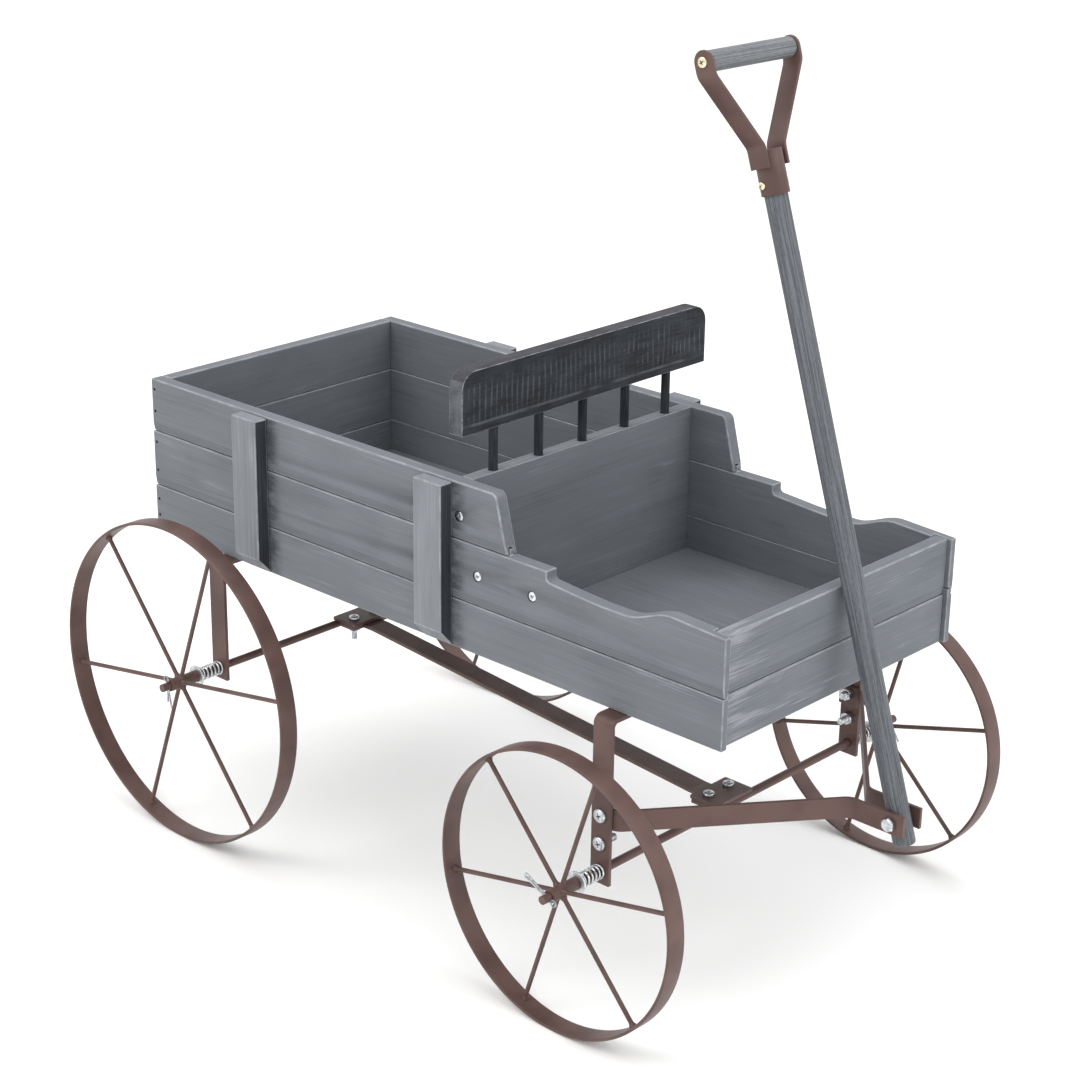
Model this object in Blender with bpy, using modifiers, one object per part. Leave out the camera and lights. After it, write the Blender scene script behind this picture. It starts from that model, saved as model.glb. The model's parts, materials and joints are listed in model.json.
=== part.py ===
"""Garden wagon planter: a plank box on four spoked hoop wheels, with a leaning pull handle.

+X is the way it is pulled, +Z is up, and Y = 0 is the middle plane. The origin is the middle of the
footprint, on the floor. Lengths are in metres.
"""

import math

import bmesh
import bpy
from mathutils import Matrix, Vector

GAP = 0.0003  # between pieces that touch
RUNNING_GAP = 0.0001  # between a shaft and the bore that turns on it
PAST = 0.010  # how far a cutter goes past what it cuts

# Wheels and axles
REAR_WHEEL_R = 0.116
FRONT_WHEEL_R = 0.093
WHEELBASE = 0.360
REAR_AXLE_X = -0.1925
FRONT_AXLE_X = REAR_AXLE_X + WHEELBASE
AXLE_R = 0.0028
AXLE_HALF = 0.1796
RIM_FACETS = 36
RIM_WIDTH = 0.0144
RIM_THICK = 0.002
RIM_Y = 0.1648
HUB_R = 0.0042
HUB_BORE_R = AXLE_R + RUNNING_GAP
HUB_FROM_Y = 0.1500
HUB_TO_Y = 0.1731
SPOKES = 6
SPOKE_R = 0.0015
SPOKE_Y = 0.1635
SPOKE_SINK = 0.0006  # how deep a spoke goes into the hub
PIN_Y = 0.1746
PIN_WIRE_R = 0.0008
PIN_EYE_R = 0.0021
PIN_TAIL = 0.0185
PIN_NECK = 0.0010  # from the axle rod to the eye
WASHER_R = 0.0076
WASHER_THICK = 0.0012
SPRING_R = 0.0043
SPRING_WIRE_R = 0.0008
SPRING_TURNS = 5
COIL_STEPS = 9  # to a turn

# Planter box
BOX_REAR_X = REAR_AXLE_X - 0.080
BOX_FRONT_X = REAR_AXLE_X + 0.4403
BOX_HALF_Y = 0.1155
PLANK_T = 0.0096
BOX_Z = 0.1963
LOW_JOINT_Z = 0.2296
HIGH_JOINT_Z = 0.2700
BOX_TOP_Z = 0.3081
FRONT_TOP_Z = 0.2674
CHAMFER_TALL = 0.0063
CHAMFER_DEEP = 0.0010
TONGUE_T = 0.0030
TONGUE_TALL = 0.0040
FRONT_RECESS = 0.0030
FRONT_LIP = 0.0050  # what a side keeps of its thickness where the front planks lap into it
FLOOR_T = 0.0092
BATTEN_W = 0.0245
BATTEN_T = 0.0105
BATTEN_CHAMFER = 0.0115
BATTEN_TOP_Z = 0.3070
BATTEN_XS = {"rear": REAR_AXLE_X + 0.0313, "front": REAR_AXLE_X + 0.2073}
SEAT_X = REAR_AXLE_X + 0.2231
RAIL_T = 0.0114
RAIL_HALF = 0.1163
RAIL_LOW_Z = 0.3382
RAIL_TOP_Z = 0.3786
RAIL_CORNER_R = 0.0115
POSTS = 5
POST_PITCH = 0.0415
POST_R = 0.0030
SOCKET_DEEP = 0.008

# Ironwork
STRAP_W = 0.015
STRAP_T = 0.0025
BEND_R = 0.004
LEG_Y = 0.1282  # outer face of a bracket's leg
FOOT_BELOW = 0.0085  # a leg's end, below its axle's centre
REACH_W = 0.016
TAB_HALF = 0.018
TAB_REACH = 0.020  # how far a tab runs from its axle
TAB_RISE = 0.0025  # underside of a tab over its axle's centre
REACH_BOLT_X = 0.0110
REACH_BOLT_Y = 0.0100
REACH_BOLT_R = 0.0020
REACH_HEAD_R = 0.0038
REACH_NUT_R = 0.0041
REACH_HEAD_H = 0.0024
REACH_NUT_H = 0.0032
REACH_TAIL = 0.0062  # how far a reach bolt comes out below
REACH_CLEAR = 0.0012  # between the reach bar's end and the axle
REACH_LEVEL = 0.024  # the level stretch at each of its ends
REACH_BEND_R = 0.010
CROSS_PLATE = 0.015

# Drawbar and handle
DRAWBAR_Z = 0.1290
DRAWBAR_H = 0.0138
DRAWBAR_BEND_X = REAR_AXLE_X + 0.4590
DRAWBAR_END_X = REAR_AXLE_X + 0.4990
LEG_BOLT_ZS = (0.1120, 0.1310)  # the upper one also clamps the drawbar
LEG_HOLE_R = 0.0027
PIVOT_X = REAR_AXLE_X + 0.4895
DRAWBAR_LEVEL = 0.0095  # from the front axle to a bar's first bend
DRAWBAR_BEND_R = 0.008
POLE_PLAY = 0.0005  # between the pole and each bar
POLE_R = 0.0071
POLE_TAIL = 0.0165
POLE_TOP = 0.4090
HINGE_BOLT_R = 0.0024
HINGE_HEAD_R = 0.0047
HINGE_HEAD_H = 0.0032
HINGE_NUT_H = 0.0038
HINGE_TAIL = 0.006
FERRULE_LOW = 0.3845
FERRULE_TOP = 0.4112
FERRULE_R = 0.0086
GRIP_AT = 0.467
GRIP_R = 0.0063
GRIP_ARM_Y = 0.0400
ARM_W = 0.0138
ARM_T = 0.0022
ARM_BEND_R = 0.009
FOOT_SINK = 0.0005  # how deep an arm's foot is let into the ferrule
FOOT_LAP = 0.0103  # how much of an arm lies on the ferrule
FOOT_OVER = 0.0023  # where it bends, over the ferrule's top
TIP_STRAIGHT = 0.0080
# The pole leans back until it rests on the front panel's top edge.
EDGE_DX = PIVOT_X - (BOX_FRONT_X - FRONT_RECESS)
EDGE_DZ = FRONT_TOP_Z - DRAWBAR_Z
LEAN = math.atan2(EDGE_DX, EDGE_DZ) - math.asin((POLE_R + GAP) / math.hypot(EDGE_DX, EDGE_DZ))

WHEELS = {
    # name: (axle X, wheel radius, side of Y, angle of one spoke, way the cotter pin's tail points)
    "rear_right": (REAR_AXLE_X, REAR_WHEEL_R, -1, 10.0, -80.0),
    "rear_left": (REAR_AXLE_X, REAR_WHEEL_R, 1, 10.0, -80.0),
    "front_right": (FRONT_AXLE_X, FRONT_WHEEL_R, -1, 12.0, 155.0),
    "front_left": (FRONT_AXLE_X, FRONT_WHEEL_R, 1, 16.0, -60.0),
}

AXLES = (
    # (end, axle X, axle Z, way to the wagon's middle)
    ("rear", REAR_AXLE_X, REAR_WHEEL_R, 1),
    ("front", FRONT_AXLE_X, FRONT_WHEEL_R, -1),
)

# How a flat outline is stood up: columns are where its own x, y and thickness go.
STAND_XZ = Matrix(((1, 0, 0), (0, 0, -1), (0, 1, 0))).to_4x4()
STAND_YZ = Matrix(((0, 0, 1), (1, 0, 0), (0, 1, 0))).to_4x4()
LIE_XY = Matrix.Identity(4)


def clear_scene():
    for obj in list(bpy.data.objects):
        bpy.data.objects.remove(obj, do_unlink=True)


def new_collection(name):
    collection = bpy.data.collections.new(name)
    bpy.context.scene.collection.children.link(collection)
    return collection


def material(name, colour, metallic, roughness):
    mat = bpy.data.materials.new(name)
    mat.use_nodes = True
    shader = mat.node_tree.nodes["Principled BSDF"]
    shader.inputs["Base Color"].default_value = (*colour, 1.0)
    shader.inputs["Metallic"].default_value = metallic
    shader.inputs["Roughness"].default_value = roughness
    mat.diffuse_color = (*colour, 1.0)
    return mat


def add(name, mesh, mat):
    """Puts a mesh in the scene: a part if it has a material, or else a hidden cutter."""
    obj = bpy.data.objects.new(name, mesh)
    if mat is None:
        CUTTERS.objects.link(obj)
        obj.hide_render = True
        obj.display_type = "WIRE"
    else:
        PARTS.objects.link(obj)
        mesh.materials.append(mat.copy())
        mesh.materials[0].name = name
    return obj


def block(name, low, high, mat=None):
    low, high = Vector(low), Vector(high)
    bm = bmesh.new()
    bmesh.ops.create_cube(bm, size=1.0)
    bmesh.ops.scale(bm, vec=high - low, verts=bm.verts)
    mesh = bpy.data.meshes.new(name)
    bm.to_mesh(mesh)
    bm.free()
    obj = add(name, mesh, mat)
    obj.location = (low + high) / 2
    return obj


def cylinder(name, start, end, radius, mat=None, sides=20):
    """A straight round (or, with six sides, hexagonal) bar between two points."""
    start, end = Vector(start), Vector(end)
    bm = bmesh.new()
    bmesh.ops.create_cone(
        bm, cap_ends=True, segments=sides, radius1=radius, radius2=radius, depth=(end - start).length
    )
    mesh = bpy.data.meshes.new(name)
    bm.to_mesh(mesh)
    bm.free()
    obj = add(name, mesh, mat)
    obj.rotation_mode = "QUATERNION"
    obj.rotation_quaternion = Vector((0, 0, 1)).rotation_difference(end - start)
    obj.location = (start + end) / 2
    return obj


def turned(name, profile, steps, mat):
    """Turns a closed (radius, height) profile about the object's own Z."""
    bm = bmesh.new()
    ring = [bm.verts.new((radius, 0, height)) for radius, height in profile]
    for first, second in zip(ring, ring[1:] + ring[:1]):
        bm.edges.new((first, second))
    mesh = bpy.data.meshes.new(name)
    bm.to_mesh(mesh)
    bm.free()
    obj = add(name, mesh, mat)
    screw = obj.modifiers.new("turn", "SCREW")
    screw.axis = "Z"
    screw.steps = steps
    screw.render_steps = steps
    screw.use_merge_vertices = True
    screw.merge_threshold = 0.00001
    return obj


def mesh_of_curve(curve, name):
    """The curve's welded mesh. Its caps come loose from its sides."""
    holder = bpy.data.objects.new(name, curve)
    CUTTERS.objects.link(holder)
    bpy.context.view_layer.update()
    graph = bpy.context.evaluated_depsgraph_get()
    mesh = bpy.data.meshes.new_from_object(holder.evaluated_get(graph))
    bpy.data.objects.remove(holder, do_unlink=True)
    bm = bmesh.new()
    bm.from_mesh(mesh)
    bmesh.ops.remove_doubles(bm, verts=bm.verts, dist=0.000001)
    bmesh.ops.recalc_face_normals(bm, faces=bm.faces)
    bm.to_mesh(mesh)
    bm.free()
    mesh.materials.clear()
    mesh.name = name
    return mesh


def extrusion(name, outline, thickness, stand, middle, mat=None):
    """A flat outline given thickness and stood up in one of three planes, its middle layer at middle."""
    curve = bpy.data.curves.new(name, "CURVE")
    curve.dimensions = "2D"
    curve.fill_mode = "BOTH"
    curve.extrude = thickness / 2
    spline = curve.splines.new("POLY")
    spline.points.add(len(outline) - 1)
    for point, (across, along) in zip(spline.points, outline):
        point.co = (across, along, 0, 1)
    spline.use_cyclic_u = True
    obj = add(name, mesh_of_curve(curve, name), mat)
    obj.matrix_world = Matrix.Translation(middle) @ stand
    return obj


def wire(name, points, radius, mat):
    """A round wire along a list of points, with closed ends."""
    curve = bpy.data.curves.new(name, "CURVE")
    curve.dimensions = "3D"
    curve.bevel_depth = radius
    curve.bevel_resolution = 2
    curve.use_fill_caps = True
    spline = curve.splines.new("POLY")
    spline.points.add(len(points) - 1)
    for point, place in zip(spline.points, points):
        point.co = (*place, 1)
    return add(name, mesh_of_curve(curve, name), mat)


def combine(obj, other, operation):
    boolean = obj.modifiers.new(f"{operation.lower()} {other.name}", "BOOLEAN")
    boolean.operation = operation
    boolean.solver = "EXACT"
    boolean.object = other
    return obj


def arc(centre, radius, start, end, steps):
    """Points of an arc, with angles in degrees."""
    angles = [math.radians(start + (end - start) * step / steps) for step in range(steps + 1)]
    return [(centre[0] + radius * math.cos(a), centre[1] + radius * math.sin(a)) for a in angles]


def strap_outline(path, thickness, bend):
    """The edge-on outline of a flat bar bent along a path, each corner rounded on its middle line."""
    middle = []
    points = [Vector(point) for point in path]
    for index, point in enumerate(points):
        if index in (0, len(points) - 1):
            inner = points[1] if index == 0 else points[-2]
            ahead = (inner - point).normalized() if index == 0 else (point - inner).normalized()
            middle.append((point, ahead))
            continue
        come = (point - points[index - 1]).normalized()
        leave = (points[index + 1] - point).normalized()
        turn = come.angle(leave)
        inset = bend * math.tan(turn / 2)
        steps = max(2, round(math.degrees(turn) / 15))
        side = 1 if come.cross(leave) > 0 else -1
        start = point - come * inset
        centre = start + Vector((-come.y, come.x)) * bend * side
        for step in range(steps + 1):
            spin = Matrix.Rotation(side * turn * step / steps, 2)
            middle.append((centre + spin @ (start - centre), spin @ come))
    half = thickness / 2
    left = [place + Vector((-ahead.y, ahead.x)) * half for place, ahead in middle]
    right = [place - Vector((-ahead.y, ahead.x)) * half for place, ahead in middle]
    return [tuple(point) for point in left + right[::-1]]


def plank_section(low, high, face, inward, tongue, groove, chamfer):
    """End view of a plank as (across, up) points, with its outer face at face."""
    inner = face + inward * PLANK_T
    core_from = face + inward * (PLANK_T - TONGUE_T) / 2
    core_to = core_from + inward * TONGUE_T
    outline = [(face, high)]
    if tongue:
        outline += [(core_from, high), (core_from, high + TONGUE_TALL)]
        outline += [(core_to, high + TONGUE_TALL), (core_to, high)]
    outline += [(inner, high), (inner, low)]
    if groove:
        roof = low + TONGUE_TALL + 2 * GAP
        outline += [(core_to + inward * GAP, low), (core_to + inward * GAP, roof)]
        outline += [(core_from - inward * GAP, roof), (core_from - inward * GAP, low)]
    if chamfer:
        outline += [(face + inward * CHAMFER_DEEP, low), (face, low + CHAMFER_TALL)]
    else:
        outline += [(face, low)]
    return outline


PLANK_ROWS = {
    # name: (low edge, high edge, has a tongue on top, has a groove and a chamfer below)
    "bottom": (BOX_Z, LOW_JOINT_Z - GAP, True, False),
    "middle": (LOW_JOINT_Z, HIGH_JOINT_Z - GAP, True, True),
    "top": (HIGH_JOINT_Z, BOX_TOP_Z, False, True),
}


def side_cutters():
    """Cutters for the shaped front of a side: the top plank's rounded end and the middle plank's scoop."""
    end_x = REAR_AXLE_X + 0.2580
    corner_r = 0.0050
    foot_x = REAR_AXLE_X + 0.2668
    past_x = BOX_FRONT_X + PAST
    above_z = BOX_TOP_Z + PAST
    top_end = [(end_x - corner_r, above_z)]
    top_end += arc((end_x - corner_r, BOX_TOP_Z - corner_r), corner_r, 90, 15, 5)
    below_z = HIGH_JOINT_Z - 0.005
    top_end += [(foot_x, HIGH_JOINT_Z), (foot_x, below_z), (past_x, below_z), (past_x, above_z)]

    step_x = REAR_AXLE_X + 0.3002
    scoop_z = 0.2600
    ledge_z = 0.2628
    fillet_r = 0.0030
    ramp_from_x = REAR_AXLE_X + 0.3640
    ramp_to_x = REAR_AXLE_X + 0.3985
    ramp_steps = 7
    hump_z = 0.2695
    scoop = [(step_x, above_z)]
    scoop += arc((step_x + fillet_r, ledge_z + fillet_r), fillet_r, 180, 270, 4)
    scoop += [(step_x + 0.030, 0.2608), (step_x + 0.045, scoop_z), (ramp_from_x, scoop_z)]
    for step in range(1, ramp_steps + 1):
        share = step / ramp_steps
        rise = share * share * (3 - 2 * share)
        scoop.append((ramp_from_x + share * (ramp_to_x - ramp_from_x), scoop_z + rise * (hump_z - scoop_z)))
    scoop += [(BOX_FRONT_X, FRONT_TOP_Z), (past_x, FRONT_TOP_Z), (past_x, above_z)]

    # Before the scoop, the middle plank loses its tongue where no top plank stands on it.
    edge_z = HIGH_JOINT_Z - GAP
    bare_to_x = step_x + 0.001
    bare = [(foot_x, above_z), (foot_x, edge_z), (bare_to_x, edge_z), (bare_to_x, above_z)]
    cut_width = 3 * BOX_HALF_Y
    return {
        "top": [extrusion("cut_top_plank_end", top_end, cut_width, STAND_XZ, (0, 0, 0))],
        "middle": [
            extrusion("cut_scoop", scoop, cut_width, STAND_XZ, (0, 0, 0)),
            extrusion("cut_bare_edge", bare, cut_width, STAND_XZ, (0, 0, 0)),
        ],
        "bottom": [],
    }


def side_planks():
    cuts = side_cutters()
    lap_x = BOX_FRONT_X - FRONT_RECESS - PLANK_T - GAP
    for hand, side in (("right", -1), ("left", 1)):
        ys = sorted((side * (BOX_HALF_Y - FRONT_LIP), side * (BOX_HALF_Y - PLANK_T - PAST)))
        lap = block(
            f"cut_front_lap_{hand}",
            (lap_x, ys[0], BOX_Z - PAST),
            (BOX_FRONT_X + PAST, ys[1], BOX_TOP_Z),
        )
        for row, (low, high, tongue, joint) in PLANK_ROWS.items():
            outline = plank_section(low, high, side * BOX_HALF_Y, -side, tongue, joint, joint)
            middle = ((BOX_REAR_X + BOX_FRONT_X) / 2, 0, 0)
            length = BOX_FRONT_X - BOX_REAR_X
            plank = extrusion(f"side_plank_{hand}_{row}", outline, length, STAND_YZ, middle, WOOD)
            laps = [] if row == "top" else [lap]
            for cut in cuts[row] + laps:
                combine(plank, cut, "DIFFERENCE")


def end_planks():
    """The rear planks stand between the sides. The front ones lap into the sides' ends."""
    width = 2 * (BOX_HALF_Y - PLANK_T - GAP)
    for row, (low, high, tongue, joint) in PLANK_ROWS.items():
        outline = plank_section(low, high, BOX_REAR_X, 1, tongue, joint, joint)
        extrusion(f"rear_plank_{row}", outline, width, STAND_XZ, (0, 0, 0), WOOD)
    face = BOX_FRONT_X - FRONT_RECESS
    width = 2 * (BOX_HALF_Y - FRONT_LIP - GAP)
    for row in ("bottom", "middle"):
        low, high, tongue, joint = PLANK_ROWS[row]
        name = "front_plank_bottom" if row == "bottom" else "front_plank_top"
        high = high if row == "bottom" else FRONT_TOP_Z
        outline = plank_section(low, high, face, -1, row == "bottom", joint, joint)
        extrusion(name, outline, width, STAND_XZ, (0, 0, 0), WOOD)


def floors_and_divider():
    inside_y = BOX_HALF_Y - PLANK_T - GAP
    rear_x = BOX_REAR_X + PLANK_T + GAP
    front_x = BOX_FRONT_X - FRONT_RECESS - PLANK_T - GAP
    floor_top = BOX_Z + FLOOR_T
    behind_x, ahead_x = SEAT_X - PLANK_T / 2, SEAT_X + PLANK_T / 2
    block("rear_floor", (rear_x, -inside_y, BOX_Z), (behind_x - GAP, inside_y, floor_top), WOOD)
    block("front_floor", (ahead_x + GAP, -inside_y, BOX_Z), (front_x, inside_y, floor_top), WOOD)
    return block("divider_panel", (behind_x, -inside_y, BOX_Z), (ahead_x, inside_y, BOX_TOP_Z), WOOD)


def battens():
    for hand, side in (("right", -1), ("left", 1)):
        root = side * (BOX_HALF_Y + GAP)
        face = side * (BOX_HALF_Y + GAP + BATTEN_T)
        outline = [(root, BATTEN_TOP_Z), (root, BOX_Z), (face, BOX_Z + BATTEN_CHAMFER), (face, BATTEN_TOP_Z)]
        for end, centre_x in BATTEN_XS.items():
            extrusion(f"{end}_batten_{hand}", outline, BATTEN_W, STAND_YZ, (centre_x, 0, 0), WOOD)


def seat_back(divider):
    corner_z = RAIL_TOP_Z - RAIL_CORNER_R
    corner_y = RAIL_HALF - RAIL_CORNER_R
    outline = [(-RAIL_HALF, RAIL_LOW_Z), (RAIL_HALF, RAIL_LOW_Z)]
    outline += arc((corner_y, corner_z), RAIL_CORNER_R, 0, 90, 6)
    outline += arc((-corner_y, corner_z), RAIL_CORNER_R, 90, 180, 6)
    rail = extrusion("seat_back_rail", outline, RAIL_T, STAND_YZ, (SEAT_X, 0, 0), DARK_WOOD)
    for index in range(POSTS):
        y = (index - (POSTS - 1) / 2) * POST_PITCH
        low = Vector((SEAT_X, y, BOX_TOP_Z - SOCKET_DEEP + GAP))
        high = Vector((SEAT_X, y, RAIL_LOW_Z + SOCKET_DEEP - GAP))
        cylinder(f"seat_post_{index + 1}", low, high, POST_R, DARK_WOOD, sides=12)
        for board, end, out in ((divider, low, 1), (rail, high, -1)):
            bottom = end - Vector((0, 0, out * GAP))
            mouth = end + Vector((0, 0, out * PAST))
            socket = cylinder(f"cut_{board.name}_socket_{index + 1}", bottom, mouth, POST_R + GAP, sides=12)
            combine(board, socket, "DIFFERENCE")


def axle_bracket(end, axle_x, axle_z, leg_holes):
    """The U of flat bar under the box. Each leg has an axle hole and any bolt holes."""
    strap_z = BOX_Z - GAP - STRAP_T / 2
    leg_y = LEG_Y - STRAP_T / 2
    foot_z = axle_z - FOOT_BELOW
    path = [(-leg_y, foot_z), (-leg_y, strap_z), (leg_y, strap_z), (leg_y, foot_z)]
    outline = strap_outline(path, STRAP_T, BEND_R)
    bracket = extrusion(f"{end}_bracket", outline, STRAP_W, STAND_YZ, (axle_x, 0, 0), IRON)
    for hand, side in (("right", -1), ("left", 1)):
        out = side * (LEG_Y + PAST)
        back = side * (LEG_Y - PAST)
        bores = [("axle", axle_z, AXLE_R + GAP)]
        bores += [(f"bolt_{index}", z, LEG_HOLE_R) for index, z in enumerate(leg_holes)]
        for label, z, radius in bores:
            name = f"cut_{end}_{label}_{hand}"
            combine(bracket, cylinder(name, (axle_x, back, z), (axle_x, out, z), radius), "DIFFERENCE")


def axle(end, axle_x, axle_z, inward):
    """A cross rod with a tab welded on top, and a hole near each end for its cotter pin."""
    ends = (axle_x, -AXLE_HALF, axle_z), (axle_x, AXLE_HALF, axle_z)
    rod = cylinder(f"{end}_axle", *ends, AXLE_R, IRON, sides=16)
    tab_z = axle_z + TAB_RISE
    xs = sorted((axle_x - inward * AXLE_R, axle_x + inward * TAB_REACH))
    tab = block(f"join_{end}_tab", (xs[0], -TAB_HALF, tab_z), (xs[1], TAB_HALF, tab_z + STRAP_T))
    combine(rod, tab, "UNION")
    for side in (-1, 1):
        bolt_x, bolt_y = axle_x + inward * REACH_BOLT_X, side * REACH_BOLT_Y
        low, high = (bolt_x, bolt_y, tab_z - PAST), (bolt_x, bolt_y, tab_z + PAST)
        combine(rod, cylinder(f"cut_{end}_tab_{side}", low, high, REACH_BOLT_R + GAP), "DIFFERENCE")
    for wheel, (x, _, side, _, pin_angle) in WHEELS.items():
        if x == axle_x:
            pin_angle = math.radians(pin_angle)
            along = Vector((math.cos(pin_angle), 0, math.sin(pin_angle))) * PAST
            centre = Vector((axle_x, side * PIN_Y, axle_z))
            cut = cylinder(f"cut_pin_{wheel}", centre - along, centre + along, PIN_WIRE_R + GAP, sides=12)
            combine(rod, cut, "DIFFERENCE")


def reach_bar():
    """The flat bar that ties the two axles, with a cross plate at each end under the axle's tab."""
    clear = AXLE_R + REACH_CLEAR
    path = []
    for _, axle_x, axle_z, inward in AXLES:
        z = axle_z + TAB_RISE - GAP - STRAP_T / 2
        near, far = axle_x + inward * clear, axle_x + inward * (clear + REACH_LEVEL)
        path += [(near, z), (far, z)] if inward > 0 else [(far, z), (near, z)]
    outline = strap_outline(path, STRAP_T, REACH_BEND_R)
    bar = extrusion("reach_bar", outline, REACH_W, STAND_XZ, (0, 0, 0), IRON)
    for end, axle_x, axle_z, inward in AXLES:
        z = axle_z + TAB_RISE - GAP - STRAP_T / 2
        xs = sorted((axle_x + inward * clear, axle_x + inward * (clear + CROSS_PLATE)))
        low, high = (xs[0], -TAB_HALF, z - STRAP_T / 2), (xs[1], TAB_HALF, z + STRAP_T / 2)
        combine(bar, block(f"join_{end}_cross_plate", low, high), "UNION")
        for side in (-1, 1):
            x, y = axle_x + inward * REACH_BOLT_X, side * REACH_BOLT_Y
            ends = (x, y, z - PAST), (x, y, z + PAST)
            cut = cylinder(f"cut_{end}_cross_{side}", *ends, REACH_BOLT_R + GAP)
            combine(bar, cut, "DIFFERENCE")


def reach_bolts():
    """A round-headed bolt down through tab and cross plate, with its nut run up underneath."""
    for end, axle_x, axle_z, inward in AXLES:
        seat = axle_z + TAB_RISE + STRAP_T + GAP
        under = seat - 2 * STRAP_T - 3 * GAP
        for hand, side in (("right", -1), ("left", 1)):
            x, y = axle_x + inward * REACH_BOLT_X, side * REACH_BOLT_Y
            ends = (x, y, under - REACH_TAIL), (x, y, seat + REACH_HEAD_H / 2)
            bolt = cylinder(f"{end}_reach_bolt_{hand}", *ends, REACH_BOLT_R, STEEL, sides=16)
            ends = (x, y, seat), (x, y, seat + REACH_HEAD_H)
            head = cylinder(f"join_{end}_head_{hand}", *ends, REACH_HEAD_R, sides=24)
            ends = (x, y, under - REACH_NUT_H), (x, y, under)
            nut = cylinder(f"join_{end}_nut_{hand}", *ends, REACH_NUT_R, sides=6)
            combine(bolt, head, "UNION")
            combine(bolt, nut, "UNION")


def empty(name, place):
    obj = bpy.data.objects.new(name, None)
    obj.empty_display_size = 0.02
    obj.location = place
    PARTS.objects.link(obj)
    return obj


def turn_to_y(obj, parent, y, spin=0.0):
    """Lays a turned piece's own Z along +Y, under its parent, with spin in degrees about that axis."""
    obj.parent = parent
    lay = Matrix.Rotation(math.radians(-90), 4, "X") @ Matrix.Rotation(math.radians(spin), 4, "Z")
    obj.matrix_basis = Matrix.Translation((0, y, 0)) @ lay


def tube_profile(inner, outer, low, high):
    return [(outer, high), (outer, low), (inner, low), (inner, high)]


def wheel(name, axle_x, radius, side, spoke_angle, pin_angle):
    centre = empty(f"{name}_wheel_axis", (axle_x, 0, radius))
    # The rim's flats, not its corners, lie at the true radius, so that it stands on a flat.
    corner = 1 / math.cos(math.pi / RIM_FACETS)
    half = RIM_WIDTH / 2
    profile = tube_profile((radius - RIM_THICK) * corner, radius * corner, -half, half)
    rim = turned(f"{name}_rim", profile, RIM_FACETS, IRON)
    turn_to_y(rim, centre, side * RIM_Y, 180 / RIM_FACETS)

    hub_half = (HUB_TO_Y - HUB_FROM_Y) / 2
    hub = turned(f"{name}_hub_and_spokes", tube_profile(HUB_BORE_R, HUB_R, -hub_half, hub_half), 20, IRON)
    turn_to_y(hub, centre, side * (HUB_FROM_Y + hub_half))
    bm = bmesh.new()
    inner, outer = HUB_R - SPOKE_SINK, radius - RIM_THICK - GAP
    for index in range(SPOKES):
        angle = math.radians(spoke_angle + 360 / SPOKES * index)
        place = Matrix.Rotation(math.pi / 2 - angle, 4, "Y")
        place @= Matrix.Translation((0, 0, (inner + outer) / 2))
        size = {"radius1": SPOKE_R, "radius2": SPOKE_R, "depth": outer - inner}
        bmesh.ops.create_cone(bm, cap_ends=True, segments=10, matrix=place, **size)
    mesh = bpy.data.meshes.new(f"join_{name}_spokes")
    bm.to_mesh(mesh)
    bm.free()
    star = add(mesh.name, mesh, None)
    star.location = (axle_x, side * SPOKE_Y, radius)
    combine(hub, star, "UNION")

    washer_middle = HUB_FROM_Y - GAP - WASHER_THICK / 2
    profile = tube_profile(HUB_BORE_R, WASHER_R, -WASHER_THICK / 2, WASHER_THICK / 2)
    washer = turned(f"{name}_washer", profile, 20, STEEL)
    turn_to_y(washer, None, side * washer_middle)
    washer.matrix_basis = Matrix.Translation((axle_x, 0, radius)) @ washer.matrix_basis

    coil_from = LEG_Y + GAP + SPRING_WIRE_R
    coil_to = washer_middle - WASHER_THICK / 2 - GAP - SPRING_WIRE_R
    steps = SPRING_TURNS * COIL_STEPS
    points = []
    for step in range(steps + 1):
        share = step / steps
        angle = 2 * math.pi * SPRING_TURNS * share
        y = side * (coil_from + (coil_to - coil_from) * share)
        points.append((axle_x + SPRING_R * math.cos(angle), y, radius + SPRING_R * math.sin(angle)))
    wire(f"{name}_spring", points, SPRING_WIRE_R, STEEL)

    pin_angle = math.radians(pin_angle)
    tail = Vector((math.cos(pin_angle), 0, math.sin(pin_angle)))
    across = Vector((-tail.z, 0, tail.x))
    middle = Vector((axle_x, side * PIN_Y, radius))
    neck = middle - tail * (AXLE_R + PIN_NECK)
    eye = neck - tail * PIN_EYE_R
    loop = [eye + tail * x + across * y for x, y in arc((0, 0), PIN_EYE_R, 0, 300, 10)]
    wire(f"{name}_cotter_pin", [middle + tail * PIN_TAIL] + loop, PIN_WIRE_R, STEEL)


def drawbar():
    """Two flat bars on edge, from the front bracket's legs to the handle's hinge."""
    leg_y = LEG_Y - STRAP_T - GAP - STRAP_T / 2
    nose_y = POLE_R + POLE_PLAY + STRAP_T / 2
    for hand, side in (("right", -1), ("left", 1)):
        path = [
            (FRONT_AXLE_X - STRAP_W / 2, side * leg_y),
            (FRONT_AXLE_X + DRAWBAR_LEVEL, side * leg_y),
            (DRAWBAR_BEND_X, side * nose_y),
            (DRAWBAR_END_X, side * nose_y),
        ]
        outline = strap_outline(path, STRAP_T, DRAWBAR_BEND_R)
        bar = extrusion(f"drawbar_{hand}", outline, DRAWBAR_H, LIE_XY, (0, 0, DRAWBAR_Z), IRON)
        for label, x, y, z, radius in (
            ("bolt", FRONT_AXLE_X, leg_y, LEG_BOLT_ZS[1], LEG_HOLE_R),
            ("hinge", PIVOT_X, nose_y, DRAWBAR_Z, HINGE_BOLT_R + GAP),
        ):
            ends = (x, side * (y - PAST), z), (x, side * (y + PAST), z)
            combine(bar, cylinder(f"cut_drawbar_{label}_{hand}", *ends, radius), "DIFFERENCE")


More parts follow.
